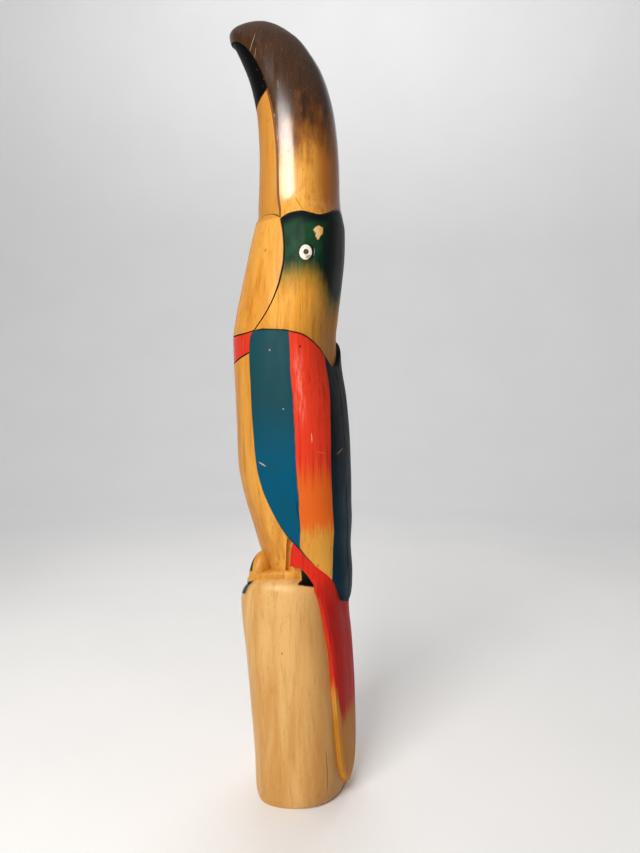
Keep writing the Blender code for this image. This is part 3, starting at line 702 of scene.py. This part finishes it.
class Finish:
    """One material, built step by step from its nodes. Sizes are in millimetres."""

    def __init__(self, name, gloss=0.5, rim_gloss=1.0):
        self.material = bpy.data.materials.new(name)
        self.material.use_nodes = True
        self.tree = self.material.node_tree
        self.shader = self.tree.nodes["Principled BSDF"]
        self.shader.inputs["Specular IOR Level"].default_value = gloss
        self.shader.inputs["Specular Tint"].default_value = (rim_gloss, rim_gloss, rim_gloss, 1.0)
        self.place = self.tree.nodes.new("ShaderNodeTexCoord").outputs["Object"]

    def add(self, kind, inputs, output=0, **settings):
        """Add a node, set or link its inputs, and return one of its outputs."""
        node = self.tree.nodes.new("ShaderNode" + kind)
        for key, value in settings.items():
            setattr(node, key, value)
        for key, value in inputs.items():
            self.feed(node.inputs[key], value)
        return node.outputs[output]

    def feed(self, socket, value):
        """Link a socket to another, or set its value."""
        if isinstance(value, bpy.types.NodeSocket):
            self.tree.links.new(value, socket)
        elif socket.type == "RGBA":
            socket.default_value = (*value, 1.0)
        else:
            socket.default_value = value

    def sum(self, first, second):
        return self.add("Math", {0: first, 1: second}, operation="ADD")

    def times(self, first, second):
        return self.add("Math", {0: first, 1: second}, operation="MULTIPLY")

    def least(self, first, second):
        return self.add("Math", {0: first, 1: second}, operation="MINIMUM")

    def most(self, first, second):
        return self.add("Math", {0: first, 1: second}, operation="MAXIMUM")

    def size(self, value):
        return self.add("Math", {0: value}, operation="ABSOLUTE")

    def rise(self, value, start, end, low=0.0, high=1.0):
        """Go smoothly from low to high as the value goes from start to end."""
        return self.add("MapRange", {0: value, 1: start, 2: end, 3: low, 4: high},
                        interpolation_type="SMOOTHSTEP")

    def within(self, value, start, full, last, end):
        """1 where the value is from full to last, and 0 before start and past end."""
        return self.times(self.rise(value, start, full), self.rise(value, end, last))

    def mix(self, amount, first, second):
        """Lay the second colour over the first."""
        return self.add("Mix", {0: amount, 6: first, 7: second}, output=2, data_type="RGBA")

    def field(self, name):
        """A distance that the mesh holds."""
        return self.add("Attribute", {}, output=2, attribute_name=name)

    def stretched(self, width, length):
        """The carving's own coordinates, for a pattern of that width across the grain."""
        return self.add("Mapping", {"Vector": self.place,
                                    "Scale": (1 / (width * MM), 1 / (width * MM), 1 / (length * MM))})

    def cloud(self, width, length, detail=2.0, rough=0.5, warp=0.0):
        """Soft noise with spots of that width across the grain and length along it."""
        return self.add("TexNoise", {"Vector": self.stretched(width, length), "Scale": 1.0, "Detail": detail,
                                     "Roughness": rough, "Distortion": warp})

    def cells(self, width, length):
        """Distance to scattered points."""
        return self.add("TexVoronoi", {"Vector": self.stretched(width, length), "Scale": 1.0})

    def along(self, axis):
        """Distance in metres along an axis: 0 to the bird's left, 1 backwards, 2 upwards."""
        return self.add("SeparateXYZ", {0: self.place}, output=axis)

    def up(self):
        """Height above the ground, in millimetres."""
        return self.times(self.along(2), 1 / MM)

    def spot(self, place, half_sizes, turn=0.0, ragged=0.0):
        """1 inside an egg-shaped spot at a drawn place, 0 outside."""
        across = self.add("Mapping", {"Vector": self.place, "Location": tuple(to_metres(np.array(place))),
                                      "Rotation": (turn, 0.0, 0.0),
                                      "Scale": tuple(half * MM for half in half_sizes)},
                          vector_type="TEXTURE")
        reach = self.add("VectorMath", {0: across}, output=1, operation="LENGTH")
        if ragged:
            bite = self.times(self.sum(self.cloud(2.2, 3.5, 3.0, 0.6), -0.5), ragged)
            reach = self.sum(reach, bite)
        return self.rise(reach, 1.06, 0.94)

    def mark(self, height, share, up_half, across_half, turn=0.0, ragged=0.3):
        """1 inside a mark at a height and a share on the bird's left side, 0 outside."""
        girth = float(BIRD.girth(height) if height > 0 else STUMP.girths[0])
        rise = self.sum(self.up(), -(height + STUMP_HEIGHT))
        across = self.times(self.sum(self.field("share"), -share), girth)
        along = self.sum(self.times(rise, math.cos(turn) / up_half),
                         self.times(across, math.sin(turn) / up_half))
        over = self.sum(self.times(across, math.cos(turn) / across_half),
                        self.times(rise, -math.sin(turn) / across_half))
        reach = self.add("Math", {0: self.sum(self.times(along, along), self.times(over, over))},
                         operation="SQRT")
        reach = self.sum(reach, self.times(self.sum(self.cloud(2.2, 4.0, 3.0, 0.6), -0.5), ragged * 2))
        inside = self.rise(reach, 1.1, 0.9)
        return self.times(inside, self.rise(self.along(0), 0.0, 0.002))

    def marks(self, colour, strength, rows):
        """Lay marks over a colour. Each row holds a mark's sizes and then its tint."""
        for *sizes, tint in rows:
            colour = self.mix(self.times(self.mark(*sizes), strength), colour, tint)
        return colour

    def finish(self, colour, roughness, relief, relief_depth):
        """Join colour, roughness and relief to the shader."""
        self.feed(self.shader.inputs["Base Color"], colour)
        self.feed(self.shader.inputs["Roughness"], roughness)
        bump = self.add("Bump", {"Height": relief, "Strength": 1.0, "Distance": relief_depth * MM})
        self.feed(self.shader.inputs["Normal"], bump)
        return self.material


def wood(finish, pale, rich, dark, run=1.0, strength=1.0):
    """Straight-grained wood: a broad figure, fine streaks along the grain and short dark pores."""
    broad = finish.cloud(26, 210, 2.0, 0.5, 0.6)
    streaks = finish.cloud(4.2, 120 * run, 3.0, 0.6, 0.3)
    fine = finish.cloud(0.9, 22 * run, 2.0, 0.6)
    patches = finish.cloud(9, 26, 3.0, 0.55)
    colour = finish.mix(finish.rise(broad, 0.36, 0.66), pale, rich)
    colour = finish.mix(finish.rise(streaks, 0.52, 0.74, 0.0, 0.55 * strength), colour, dark)
    colour = finish.mix(finish.rise(streaks, 0.46, 0.30, 0.0, 0.35), colour, pale)
    colour = finish.mix(finish.rise(patches, 0.58, 0.78, 0.0, 0.30 * strength), colour, dark)
    colour = finish.mix(finish.rise(fine, 0.56, 0.72, 0.0, 0.28), colour, dark)
    pores = finish.rise(finish.cells(2.6, 20 * run), 0.16, 0.07)
    pores = finish.times(pores, finish.rise(patches, 0.42, 0.60))
    colour = finish.mix(finish.times(pores, 0.6), colour, dark)
    relief = finish.sum(finish.times(fine, 0.35), finish.times(pores, -0.7))
    return colour, relief, streaks


PALE_AMBER = (0.76, 0.36, 0.060)
RICH_AMBER = (0.62, 0.25, 0.028)
DARK_AMBER = (0.30, 0.095, 0.010)
PALE_TAN = (0.74, 0.43, 0.150)
RICH_TAN = (0.60, 0.300, 0.080)
DARK_TAN = (0.36, 0.150, 0.036)
BEAK_BROWN = (0.036, 0.017, 0.009)
BEAK_DARK = (0.018, 0.010, 0.007)
BEAK_RUBBED = (0.150, 0.078, 0.042)
BEAK_SCRATCH = (0.42, 0.24, 0.13)
RUST_STAIN_AND_SHADE = (0.30, 0.092, 0.015)
BLACK_PAINT = (0.003, 0.003, 0.003)
CAP_GREEN = (0.011, 0.052, 0.021)
CAP_NIGHT = (0.006, 0.009, 0.010)
OLIVE = (0.15, 0.125, 0.020)
SCARLET = (0.72, 0.045, 0.018)
SCARLET_DARK = (0.38, 0.014, 0.007)
SCARLET_SHEEN = (0.86, 0.190, 0.130)
ORANGE = (0.72, 0.125, 0.016)
TAIL_LIT_RED = (0.64, 0.026, 0.014)
TAIL_SHADED_RED = (0.52, 0.012, 0.007)
TAIL_RED_DARK = (0.32, 0.011, 0.007)
TEAL_TOP = (0.009, 0.056, 0.069)
TEAL_FOOT = (0.001, 0.080, 0.152)
NAVY_TOP = (0.003, 0.006, 0.010)
NAVY_FOOT = (0.003, 0.026, 0.046)
LINE_DARK = (0.030, 0.012, 0.006)
BARE_CHIP = (0.74, 0.48, 0.23)

# Small marks on the left side: height, share, half sizes up and across, turn, tint
BARE_MARKS = (
    (600, 0.337, 1.5, 1.0, 0.0, DARK_AMBER), (433, 0.364, 2.0, 1.6, 0.0, DARK_AMBER),
    (489, 0.600, 11.0, 0.4, -0.43, LINE_DARK), (699, 0.39, 20.0, 0.4, 0.78, BEAK_SCRATCH),
    (684, 0.372, 12.0, 0.35, 0.62, BEAK_SCRATCH), (640, 0.50, 6.0, 0.35, 0.2, BEAK_SCRATCH),
    (-91, 0.533, 1.6, 1.3, 0.0, DARK_TAN), (-255, 0.772, 38.0, 0.45, -0.05, LINE_DARK),
)
WING_MARKS = (
    (157.8, 0.444, 5.0, 0.8, 2.04, BARE_CHIP), (172.6, 0.925, 9.0, 0.5, 1.23, BARE_CHIP),
    (174.0, 0.768, 0.7, 7.0, 0.25, ORANGE), (193.0, 0.719, 6.0, 0.6, 0.0, BARE_CHIP),
    (303.8, 0.531, 1.1, 0.9, 0.0, BARE_CHIP), (229.5, 0.581, 0.9, 0.8, 0.0, BARE_CHIP),
    (307.8, 0.700, 1.5, 1.3, 0.0, CAP_NIGHT), (100.0, 0.615, 12.0, 0.8, 0.0, CAP_NIGHT),
    (26.0, 0.700, 1.8, 1.2, 0.0, DARK_AMBER),
)


def carving_finish(name, gloss, rim_gloss, smoothness):
    """Bare varnished wood, with the beak's stain, the dark cap, the breast band and black spots."""
    f = Finish(name, gloss, rim_gloss)
    up = f.up()
    share = f.field("share")
    depth = f.times(f.along(1), 1 / MM)
    wobble = f.sum(f.cloud(6, 9, 3.0, 0.6), -0.5)

    amber, relief, streaks = wood(f, PALE_AMBER, RICH_AMBER, DARK_AMBER)
    tan = wood(f, PALE_TAN, RICH_TAN, DARK_TAN, 0.28, 0.6)[0]
    # Painted shade: the stump is darkened towards its back, the side turned away from the light
    tan = f.mix(f.rise(share, 0.58, 0.80, 0.0, 0.52), tan, DARK_TAN)
    on_bird = f.rise(f.field("level"), 0.2, 1.2)
    amber = f.mix(f.rise(share, 0.45, 0.22, 0.0, 0.24), amber, DARK_AMBER)
    # Painted shade: the back of the neck, turned away from the light, is darkened towards rust brown
    amber = f.mix(f.rise(share, 0.72, 0.92, 0.0, 0.40), amber, RUST_STAIN_AND_SHADE)
    colour = f.mix(on_bird, tan, amber)

    # The upper beak goes from amber through rust to dark brown at its tip
    mottle = f.times(f.sum(f.cloud(13, 34, 4.0, 0.62), -0.5), 120.0)
    stain = f.sum(f.sum(up, f.times(f.sum(streaks, -0.5), 36.0)), mottle)
    upper = f.rise(f.field("off_beak_edge"), -0.6, 0.6)
    behind = f.rise(share, 0.62, 0.86)
    rust = f.most(f.rise(stain, 806.0, 884.0), f.times(behind, f.rise(stain, 742.0, 800.0)))
    brown = f.rise(stain, 836.0, 930.0)
    beak = f.mix(f.times(rust, 0.86), colour, RUST_STAIN_AND_SHADE)
    smoke = f.mix(f.rise(f.cloud(6, 30, 4.0, 0.62), 0.42, 0.66, 0.0, 0.75), BEAK_BROWN, BEAK_DARK)
    smoke = f.mix(f.rise(f.cloud(2.6, 16, 4.0, 0.68), 0.57, 0.70, 0.0, 0.42), smoke, BEAK_RUBBED)
    beak = f.mix(f.times(brown, 0.95), beak, smoke)
    above_throat = f.rise(up, 774.0, 778.0)
    colour = f.mix(f.times(upper, above_throat), colour, beak)
    colour = f.marks(colour, 0.75, BARE_MARKS)

    pits = f.times(f.rise(f.cells(6.5, 8.5), 0.13, 0.07), f.times(upper, above_throat))
    colour = f.mix(f.times(pits, 0.75), colour, LINE_DARK)
    edge_line = f.within(f.field("off_beak_edge"), -5.0, -4.4, 0.4, 0.9)
    colour = f.mix(f.times(f.times(edge_line, above_throat), 0.9), colour, LINE_DARK)

    lower = f.times(above_throat, f.rise(upper, 0.6, 0.4))
    colour = f.mix(f.times(lower, 0.40), colour, DARK_AMBER)

    # The lower beak's tip is black
    tip = f.rise(f.sum(f.field("off_tip_paint"), f.times(wobble, 2.2)), -0.3, 0.3)
    tip = f.times(f.times(tip, f.rise(upper, 0.6, 0.4)), f.rise(up, 915.0, 919.0))
    specks = f.rise(f.cells(7, 9), 0.075, 0.04)
    colour = f.mix(tip, colour, f.mix(f.times(specks, 0.7), BLACK_PAINT, BARE_CHIP))

    # The cap is nearly black at its top and at the back, and green on the cheek, worn to wood below
    ends = f.sum(f.times(f.sum(streaks, -0.5), 22.0), f.times(wobble, 12.0))
    foot = f.sum(f.rise(share, 0.72, 0.99, 708.0, 668.0), ends)
    above = f.add("Math", {0: up, 1: foot}, operation="SUBTRACT")
    under_top = f.times(f.rise(f.sum(f.field("below_cap_top"), f.times(wobble, 0.8)), -0.3, 0.3),
                        f.rise(f.field("off_throat"), 0.0, -1.0))
    colour = f.mix(f.times(f.times(under_top, f.rise(above, -36.0, 4.0)), 0.8), colour, OLIVE)
    cap = f.times(f.rise(above, -12.0, 14.0), under_top)
    night = f.most(f.rise(share, 0.73, 0.86), f.rise(f.field("below_cap_top"), 17.0, 5.0))
    green = f.mix(f.rise(f.cloud(12, 18, 3.0), 0.35, 0.7, 0.0, 0.6), CAP_GREEN, CAP_NIGHT)
    colour = f.mix(cap, colour, f.mix(night, green, CAP_NIGHT))
    chip = f.most(f.mark(453.0, 0.739, 5.4, 6.6, 0.2, 0.5), f.mark(448.0, 0.736, 6.2, 3.4, 0.15, 0.5))
    colour = f.mix(chip, colour, f.mix(f.rise(f.cloud(4, 6, 3.0), 0.4, 0.65), BARE_CHIP, PALE_AMBER))

    # The line of pigment over the throat, and the one beside the cut line under the cheek
    throat_top = f.times(f.rise(f.size(f.sum(f.field("off_throat_top"), f.times(wobble, 0.5))), 1.0, 0.3),
                         f.rise(share, 0.46, 0.44))
    cheek_line = f.times(f.rise(f.size(f.field("off_throat")), 2.1, 1.0),
                         f.within(up, 672.0, 690.0, 770.0, 778.0))
    colour = f.mix(f.times(f.most(throat_top, cheek_line), 0.85), colour, LINE_DARK)

    # The breast band
    band = f.times(f.rise(f.field("off_band_top"), 0.4, -0.4), f.rise(f.field("off_band_foot"), -0.4, 0.4))
    band = f.times(band, f.rise(share, 0.46, 0.44))
    band = f.times(band, f.within(up, 585.0, 586.0, 634.0, 635.0))
    scarlet = f.mix(f.rise(streaks, 0.3, 0.75, 0.15, 0.6), SCARLET, SCARLET_DARK)
    colour = f.mix(band, colour, scarlet)

    # Black paint behind the feet, on their fronts and on the stump's front shoulder
    frayed = f.sum(f.field("level"), f.times(wobble, 2.5))
    behind_feet = f.times(f.rise(depth, 12.5, 14.0), f.within(frayed, -3.0, -1.5, 17.0, 20.0))
    toes = f.times(f.rise(depth, -56.5, -59.0), f.within(frayed, 10.0, 12.0, 28.0, 31.0))
    shoulder = f.times(f.rise(share, 0.29, 0.25), f.within(frayed, -15.0, -12.0, 1.0, 2.0))
    colour = f.mix(f.most(f.most(behind_feet, toes), shoulder), colour, BLACK_PAINT)

    painted = f.most(f.most(cap, tip), band)
    bare_relief = f.times(relief, f.rise(painted, 0.0, 1.0, 1.0, 0.35))
    relief = f.sum(bare_relief, f.times(painted, 0.25))
    relief = f.sum(relief, f.times(chip, -0.6))
    roughness = f.sum(f.rise(f.cloud(14, 60, 3.0), 0.3, 0.7, 0.30, 0.42), f.times(painted, -0.04))
    roughness = f.sum(roughness, f.times(pits, 0.5))
    return f.finish(colour, f.sum(roughness, -smoothness), relief, 0.10)


def wing_finish():
    """Three stripes from the edge to the back: teal, scarlet worn to bare wood below, and navy."""
    f = Finish("painted_wings", 0.07, 0.45)
    up = f.up()
    side = f.along(0)
    wobble = f.times(f.sum(f.cloud(5, 16, 3.0, 0.6), -0.5), 1.6)
    amber, relief, streaks = wood(f, PALE_AMBER, RICH_AMBER, DARK_AMBER)
    hairs = f.cloud(1.3, 46, 3.0, 0.65)
    teal = f.mix(f.rise(f.sum(up, f.times(streaks, 60.0)), 590.0, 470.0), TEAL_TOP, TEAL_FOOT)
    teal = f.mix(f.rise(f.cloud(16, 30, 4.0, 0.6), 0.45, 0.75, 0.0, 0.35), teal, TEAL_TOP)
    scarlet = f.mix(f.rise(streaks, 0.46, 0.74, 0.0, 0.5), SCARLET, SCARLET_DARK)
    scarlet = f.mix(f.rise(hairs, 0.56, 0.70, 0.0, 0.40), scarlet, SCARLET_DARK)
    off_blue = f.field("off_blue")
    # Painted sheen: pale streaks on the scarlet beside the teal, where light glances off the paint
    painted_sheen = f.times(f.rise(f.size(f.sum(off_blue, 9.0)), 8.0, 2.0),
                     f.rise(f.size(f.sum(up, -560.0)), 62.0, 20.0))
    painted_sheen = f.times(painted_sheen, f.rise(f.cloud(2.4, 20, 4.0, 0.62), 0.40, 0.62))
    scarlet = f.mix(f.times(painted_sheen, 0.75), scarlet, SCARLET_SHEEN)
    thin = f.sum(up, f.times(f.sum(streaks, -0.5), 60.0))
    worn = f.mix(f.rise(thin, 478.0, 425.0), scarlet, ORANGE)
    bare = f.sum(up, f.times(f.sum(f.cloud(5, 90, 3.0, 0.6), -0.5), 70.0))
    worn = f.mix(f.rise(bare, 392.0, 362.0), worn, f.mix(0.2, amber, DARK_AMBER))
    navy = f.mix(f.rise(up, 520.0, 380.0), NAVY_TOP, NAVY_FOOT)
    past_blue = f.sum(off_blue, wobble)
    # Painted shade: on the right wing the navy reaches 14 mm further forward and covers the top of the
    # scarlet
    past_navy = f.sum(f.sum(f.field("off_navy"), wobble), f.rise(side, 0.0, -0.001, 0.0, -14.0))
    middle = f.rise(past_blue, 0.35, -0.35)
    back = f.rise(past_navy, 0.35, -0.35)
    far_wing_shade = f.times(f.rise(side, 0.0, -0.001),
                      f.times(f.rise(f.field("share"), 0.70, 0.72), f.rise(up, 560.0, 570.0)))
    back = f.most(back, far_wing_shade)
    colour = f.mix(middle, teal, worn)
    colour = f.mix(back, colour, navy)
    seam = f.rise(f.size(past_blue), 0.9, 0.3)
    colour = f.mix(f.times(seam, f.rise(f.cloud(4, 40), 0.42, 0.6, 0.1, 0.8)), colour, TEAL_TOP)
    # Painted shade: a dark band along the wings' edges and tops, where their rounded rims turn away
    rim = f.least(f.size(f.field("off_wing_edge")), f.size(f.field("off_wing_top")))
    colour = f.mix(f.rise(f.sum(rim, wobble), 3.0, 1.6, 0.0, 0.85), colour, CAP_NIGHT)
    colour = f.marks(colour, 0.7, WING_MARKS)
    relief = f.sum(f.times(relief, 0.4), f.times(hairs, 0.25))
    roughness = f.rise(f.cloud(11, 40, 3.0), 0.3, 0.7, 0.38, 0.52)
    return f.finish(colour, roughness, relief, 0.10)


def tail_finish():
    """Scarlet that thins to bare wood at the tail's foot, with painted light: lighter along its sides,
    darker on its back face.
    """
    f = Finish("painted_tail", 0.05, 0.45)
    up = f.up()
    amber, relief, streaks = wood(f, PALE_AMBER, RICH_AMBER, DARK_AMBER)
    rim = f.size(f.field("off_tail_edge"))
    # Painted light and shade: the tail's sides are a lighter red and its back face a darker red
    inner = f.rise(rim, 5.0, 9.0)
    red = f.mix(f.times(inner, f.rise(up, 300.0, 262.0)), TAIL_LIT_RED, TAIL_SHADED_RED)
    red = f.mix(f.rise(streaks, 0.42, 0.75, 0.0, 0.5), red, TAIL_RED_DARK)
    thin = f.sum(f.sum(up, f.times(f.sum(streaks, -0.5), 46.0)), f.times(inner, 42.0))
    worn = f.mix(f.times(f.sum(inner, 0.5), 0.34), amber, RUST_STAIN_AND_SHADE)
    colour = f.mix(f.rise(thin, 178.0, 142.0), red, worn)
    # Painted shade: a darker line along the tail's rounded rim
    colour = f.mix(f.rise(rim, 0.9, 0.2, 0.0, 0.25), colour, DARK_AMBER)
    relief = f.times(relief, 0.5)
    roughness = f.rise(f.cloud(11, 40, 3.0), 0.3, 0.7, 0.38, 0.52)
    return f.finish(colour, roughness, relief, 0.10)


def line_finish():
    """The dark pigment that has settled in the cut lines."""
    f = Finish("dark_line", 0.05)
    colour = f.mix(f.rise(f.cloud(3, 5, 3.0), 0.35, 0.7, 0.0, 0.35), CAP_NIGHT, LINE_DARK)
    return f.finish(colour, 0.6, f.cloud(0.8, 3.0), 0.08)


def eye_finish():
    """Yellowed white lacquer, dark round its rim, with a grey-pink blemish."""
    f = Finish("eye_lacquer", 0.25)
    colour = f.mix(f.rise(f.cloud(3, 3, 3.0), 0.45, 0.75, 0.0, 0.5), (0.72, 0.66, 0.52), (0.50, 0.40, 0.28))
    height, share = EYE_PLACE
    centre = BIRD.skin(height, share)
    for side in (1, -1):
        blot = f.spot(tuple(centre * (side, 1, 1) + (0, 3.5, -6.0)), (8, 3.6, 2.2), 0.3, 0.6)
        colour = f.mix(f.times(blot, 0.75), colour, (0.26, 0.16, 0.15))
    inner = f.most(*(f.spot(tuple(centre * (side, 1, 1) + (0, -0.6, -0.5)), (12, 7.6, 9.3), 0.0, 0.12)
                     for side in (1, -1)))
    colour = f.mix(inner, CAP_NIGHT, colour)
    roughness = f.rise(f.cloud(2, 2, 2.0), 0.3, 0.7, 0.25, 0.45)
    return f.finish(colour, roughness, f.cloud(1.2, 1.2), 0.06)


def pupil_finish():
    """Shiny black."""
    f = Finish("pupil_lacquer", 0.2)
    colour = f.mix(f.rise(f.cloud(1.5, 1.5), 0.4, 0.7), BLACK_PAINT, (0.02, 0.018, 0.018))
    return f.finish(colour, f.rise(f.cloud(1.0, 1.0), 0.3, 0.7, 0.4, 0.55), f.cloud(0.8, 0.8), 0.03)


def polish_beak(body):
    """Give the upper beak a shinier finish and the head a duller one, parted by the carved lines."""
    fields = {}
    for name in ("off_beak_edge", "below_cap_top", "off_throat", "off_tip_paint", "level"):
        fields[name] = np.empty(len(body.data.vertices))
        body.data.attributes[name].data.foreach_get("value", fields[name])
    above = fields["level"] > CAP_TOP[0][0]
    on_beak = (fields["off_beak_edge"] > -0.2) & (fields["below_cap_top"] < 0.2) & above
    on_head = ((fields["below_cap_top"] > -0.2) & (fields["off_throat"] < 0.2)
               & (fields["level"] > WING_TOP[-1][0]))
    on_tip = (fields["off_tip_paint"] > -1.0) & (fields["off_beak_edge"] < 0.0) & (fields["level"] > 612)
    on_head |= on_tip
    for face in body.data.polygons:
        if face.material_index == BARE:
            if all(on_beak[corner] for corner in face.vertices):
                face.material_index = BEAK
            elif all(on_head[corner] for corner in face.vertices):
                face.material_index = HEAD


def carving():
    """The whole carving in one piece."""
    finishes = [carving_finish("varnished_carving", 0.22, 0.7, 0.0), wing_finish(), tail_finish(),
                line_finish(), carving_finish("polished_beak", 0.50, 1.0, 0.16),
                carving_finish("painted_head", 0.05, 0.4, -0.02)]
    body = carved_block()
    wear_finish(body, finishes, BARE)
    raised = [wing_pair(), tail()] + feet()
    for thing, which in zip(raised, [WING, TAIL] + [BARE] * (len(raised) - 2)):
        wear_finish(thing, finishes, which)
    combine(body, raised, "UNION")
    taken = leg_hollows() + [mandible_relief()] + eye_beds()
    lines = drawn_grooves()
    for thing in taken:
        wear_finish(thing, finishes, BARE)
    for thing in lines:
        wear_finish(thing, finishes, LINE)
    parting = between_wings()
    wear_finish(parting, finishes, WING)
    combine(body, taken + lines + [parting], "DIFFERENCE")
    hand_worked(body)
    keep_places(body)
    pick(body)
    bpy.ops.object.shade_smooth_by_angle(angle=math.radians(32))
    polish_beak(body)
    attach(body, "root")
    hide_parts("toucan")
    print("carving", len(body.data.polygons), "faces",
          sum(len(face.vertices) - 2 for face in body.data.polygons), "triangles")


def cheek_side(points):
    """How far out the cheek lies beside points, measured sideways from the bird's middle plane."""
    front, back, widest, half, front_square, back_square = BIRD.sizes(points[:, 2])
    ahead = points[:, 1] < widest
    square = np.where(ahead, front_square, back_square)
    part = np.abs(points[:, 1] - widest) / np.where(ahead, widest - front, back - widest)
    return half * (1 - np.minimum(part, 1.0) ** square) ** (1 / square)


def eye(side, side_name, white, black):
    """A disc let in flush with the cheek, with a seat for its pupil, and the pupil's shallow dome."""
    seat, facing = eye_seat(side)
    disc = round_bar(f"eye_disc_{side_name}", seat - facing * (EYE_THICKNESS / 2 - EYE_PROUD) * MM, facing,
                     EYE_RADIUS * MM, EYE_THICKNESS * MM)
    pin = round_bar(f"eye_pin_{side_name}", seat + facing * (PUPIL_PROUD - PUPIL_THICKNESS / 2) * MM, facing,
                    PUPIL_RADIUS * MM, PUPIL_THICKNESS * MM, 64)
    front = max(disc.data.polygons, key=lambda face: face.center.dot(facing) + face.area).index
    edit_faces(disc, lambda face: face.index == front)
    rings = 6
    bpy.ops.mesh.inset(thickness=0.5 * MM)
    for _ in range(rings):
        bpy.ops.mesh.inset(thickness=(EYE_RADIUS - 0.5 - PUPIL_RADIUS - GAP) / rings * MM)
    bpy.ops.object.mode_set(mode="OBJECT")
    points = to_drawing(read_points(disc))
    centre = to_drawing(np.array(seat))
    outer = (points - centre) @ np.array(facing) > 0
    from_axis = np.linalg.norm(np.cross(points - centre, np.array(facing)), axis=1)
    lowered = np.clip((from_axis - EYE_RADIUS + 0.5) / 0.5, 0.0, 1.0) * 0.35
    points[outer, 0] = side * (cheek_side(points) + 0.25 - lowered)[outer]
    write_points(disc, to_metres(points))
    bpy.ops.object.mode_set(mode="EDIT")
    bpy.ops.mesh.extrude_region_move(TRANSFORM_OT_translate={"value": tuple(-facing * 2.9 * MM)})
    bpy.ops.object.mode_set(mode="OBJECT")
    edit_faces(pin, lambda face: face.normal.dot(facing) > 0.9)
    bpy.ops.mesh.bevel(offset=1.1 * MM, segments=5, profile=0.5)
    bpy.ops.object.mode_set(mode="OBJECT")
    for thing, finish, node, slot in ((disc, white, "eye", "eye_white"),
                                      (pin, black, "pupil", "pupil_black")):
        pick(thing)
        bpy.ops.object.shade_smooth_by_angle(angle=math.radians(40))
        thing.data.materials.append(finish)
        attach(thing, "root")
        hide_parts(f"{node}_{side_name}")


def studio():
    """A pale floor that turns up into the walls of a round studio, and soft lights."""
    radius, height, sweep = 3.6, 4.2, 1.5
    bpy.ops.object.select_all(action="DESELECT")
    bpy.ops.mesh.primitive_cylinder_add(vertices=128, radius=radius, depth=height,
                                        location=(0, 0, height / 2))
    room = bpy.context.object
    room.name = "studio_room"
    bpy.ops.object.transform_apply(location=True, rotation=True, scale=True)
    edit_faces(room, lambda face: face.normal.z > 0.9)
    bpy.ops.mesh.delete(type="FACE")
    bpy.ops.object.mode_set(mode="OBJECT")
    edit_faces(room, lambda face: face.normal.z < -0.9)
    bpy.ops.mesh.bevel(offset=sweep, segments=24, profile=0.5)
    bpy.ops.mesh.select_all(action="SELECT")
    bpy.ops.mesh.flip_normals()
    bpy.ops.object.mode_set(mode="OBJECT")
    room.data.shade_smooth()
    f = Finish("studio_paint")
    flat = f.add("VectorMath", {0: f.place, 1: (1.0, 1.0, 0.0)}, operation="MULTIPLY")
    out = f.add("VectorMath", {0: flat}, output=1, operation="LENGTH")
    walls = f.mix(f.rise(f.along(0), -1.0, 0.6), (0.76, 0.76, 0.76), (0.16, 0.16, 0.16))
    colour = f.mix(f.rise(out, 0.8, 2.0), (0.90, 0.885, 0.87), walls)
    colour = f.mix(f.rise(f.cloud(400, 400), 0.3, 0.7, 0.0, 0.06), colour, (0.5, 0.5, 0.5))
    room.data.materials.append(f.finish(colour, 0.85, f.cloud(4, 4), 0.02))


def lamp(name, place, aim, width, height, watts, tint=(1.0, 1.0, 1.0)):
    """A rectangular soft light."""
    data = bpy.data.lights.new(name, "AREA")
    data.shape = "RECTANGLE"
    data.size = width
    data.size_y = height
    data.energy = watts
    data.color = tint
    light = bpy.data.objects.new(name, data)
    bpy.context.scene.collection.objects.link(light)
    light.location = place
    light.rotation_euler = (Vector(aim) - Vector(place)).to_track_quat("-Z", "Y").to_euler()
    return light


def lighting():
    """A tall soft window to the left of the viewer, a weak light above, one on the wall and a soft sky."""
    window = lamp("window", (1.37, -0.16, 1.3), (0, 0, 0.6), 0.85, 1.1, 30, (1.0, 0.985, 0.96))
    glint = lamp("window_glint", (1.29, -0.48, 1.07), (0, 0, 0.8), 0.62, 0.82, 34, (1.0, 0.985, 0.96))
    overhead = lamp("overhead", (0.25, -0.75, 2.4), (0, 0, 0.3), 1.2, 1.2, 4)
    backdrop = lamp("backdrop", (-1.3, -0.4, 3.7), (-3.4, -1.0, 0.9), 1.6, 1.0, 62)
    glint.visible_diffuse = False
    for light in (window, overhead, backdrop):
        light.visible_glossy = False
    world = bpy.data.worlds.new("sky")
    bpy.context.scene.world = world
    world.use_nodes = True
    world.node_tree.nodes["Background"].inputs["Color"].default_value = (0.95, 0.97, 1.0, 1.0)
    world.node_tree.nodes["Background"].inputs["Strength"].default_value = 0.25
    bpy.context.scene.view_settings.view_transform = "Standard"
    bpy.context.scene.view_settings.look = "None"


def camera():
    """The viewer stands off the bird's left side, a little behind it, and looks slightly down."""
    azimuth, pitch = math.radians(20), math.radians(4)
    data = bpy.data.cameras.new("viewer")
    data.sensor_width = 36.0
    data.lens = 26.17
    data.clip_start = 0.01
    data.dof.use_dof = False
    viewer = bpy.data.objects.new("viewer", data)
    bpy.context.scene.collection.objects.link(viewer)
    viewer.location = (0.7912, 0.3114, 0.565)
    ahead = Vector((-math.cos(azimuth) * math.cos(pitch), -math.sin(azimuth) * math.cos(pitch),
                    -math.sin(pitch)))
    viewer.rotation_euler = ahead.to_track_quat("-Z", "Y").to_euler()
    bpy.context.scene.camera = viewer


camera()
carving()
white_lacquer, black_lacquer = eye_finish(), pupil_finish()
eye(1, "left", white_lacquer, black_lacquer)
eye(-1, "right", white_lacquer, black_lacquer)
studio()
lighting()
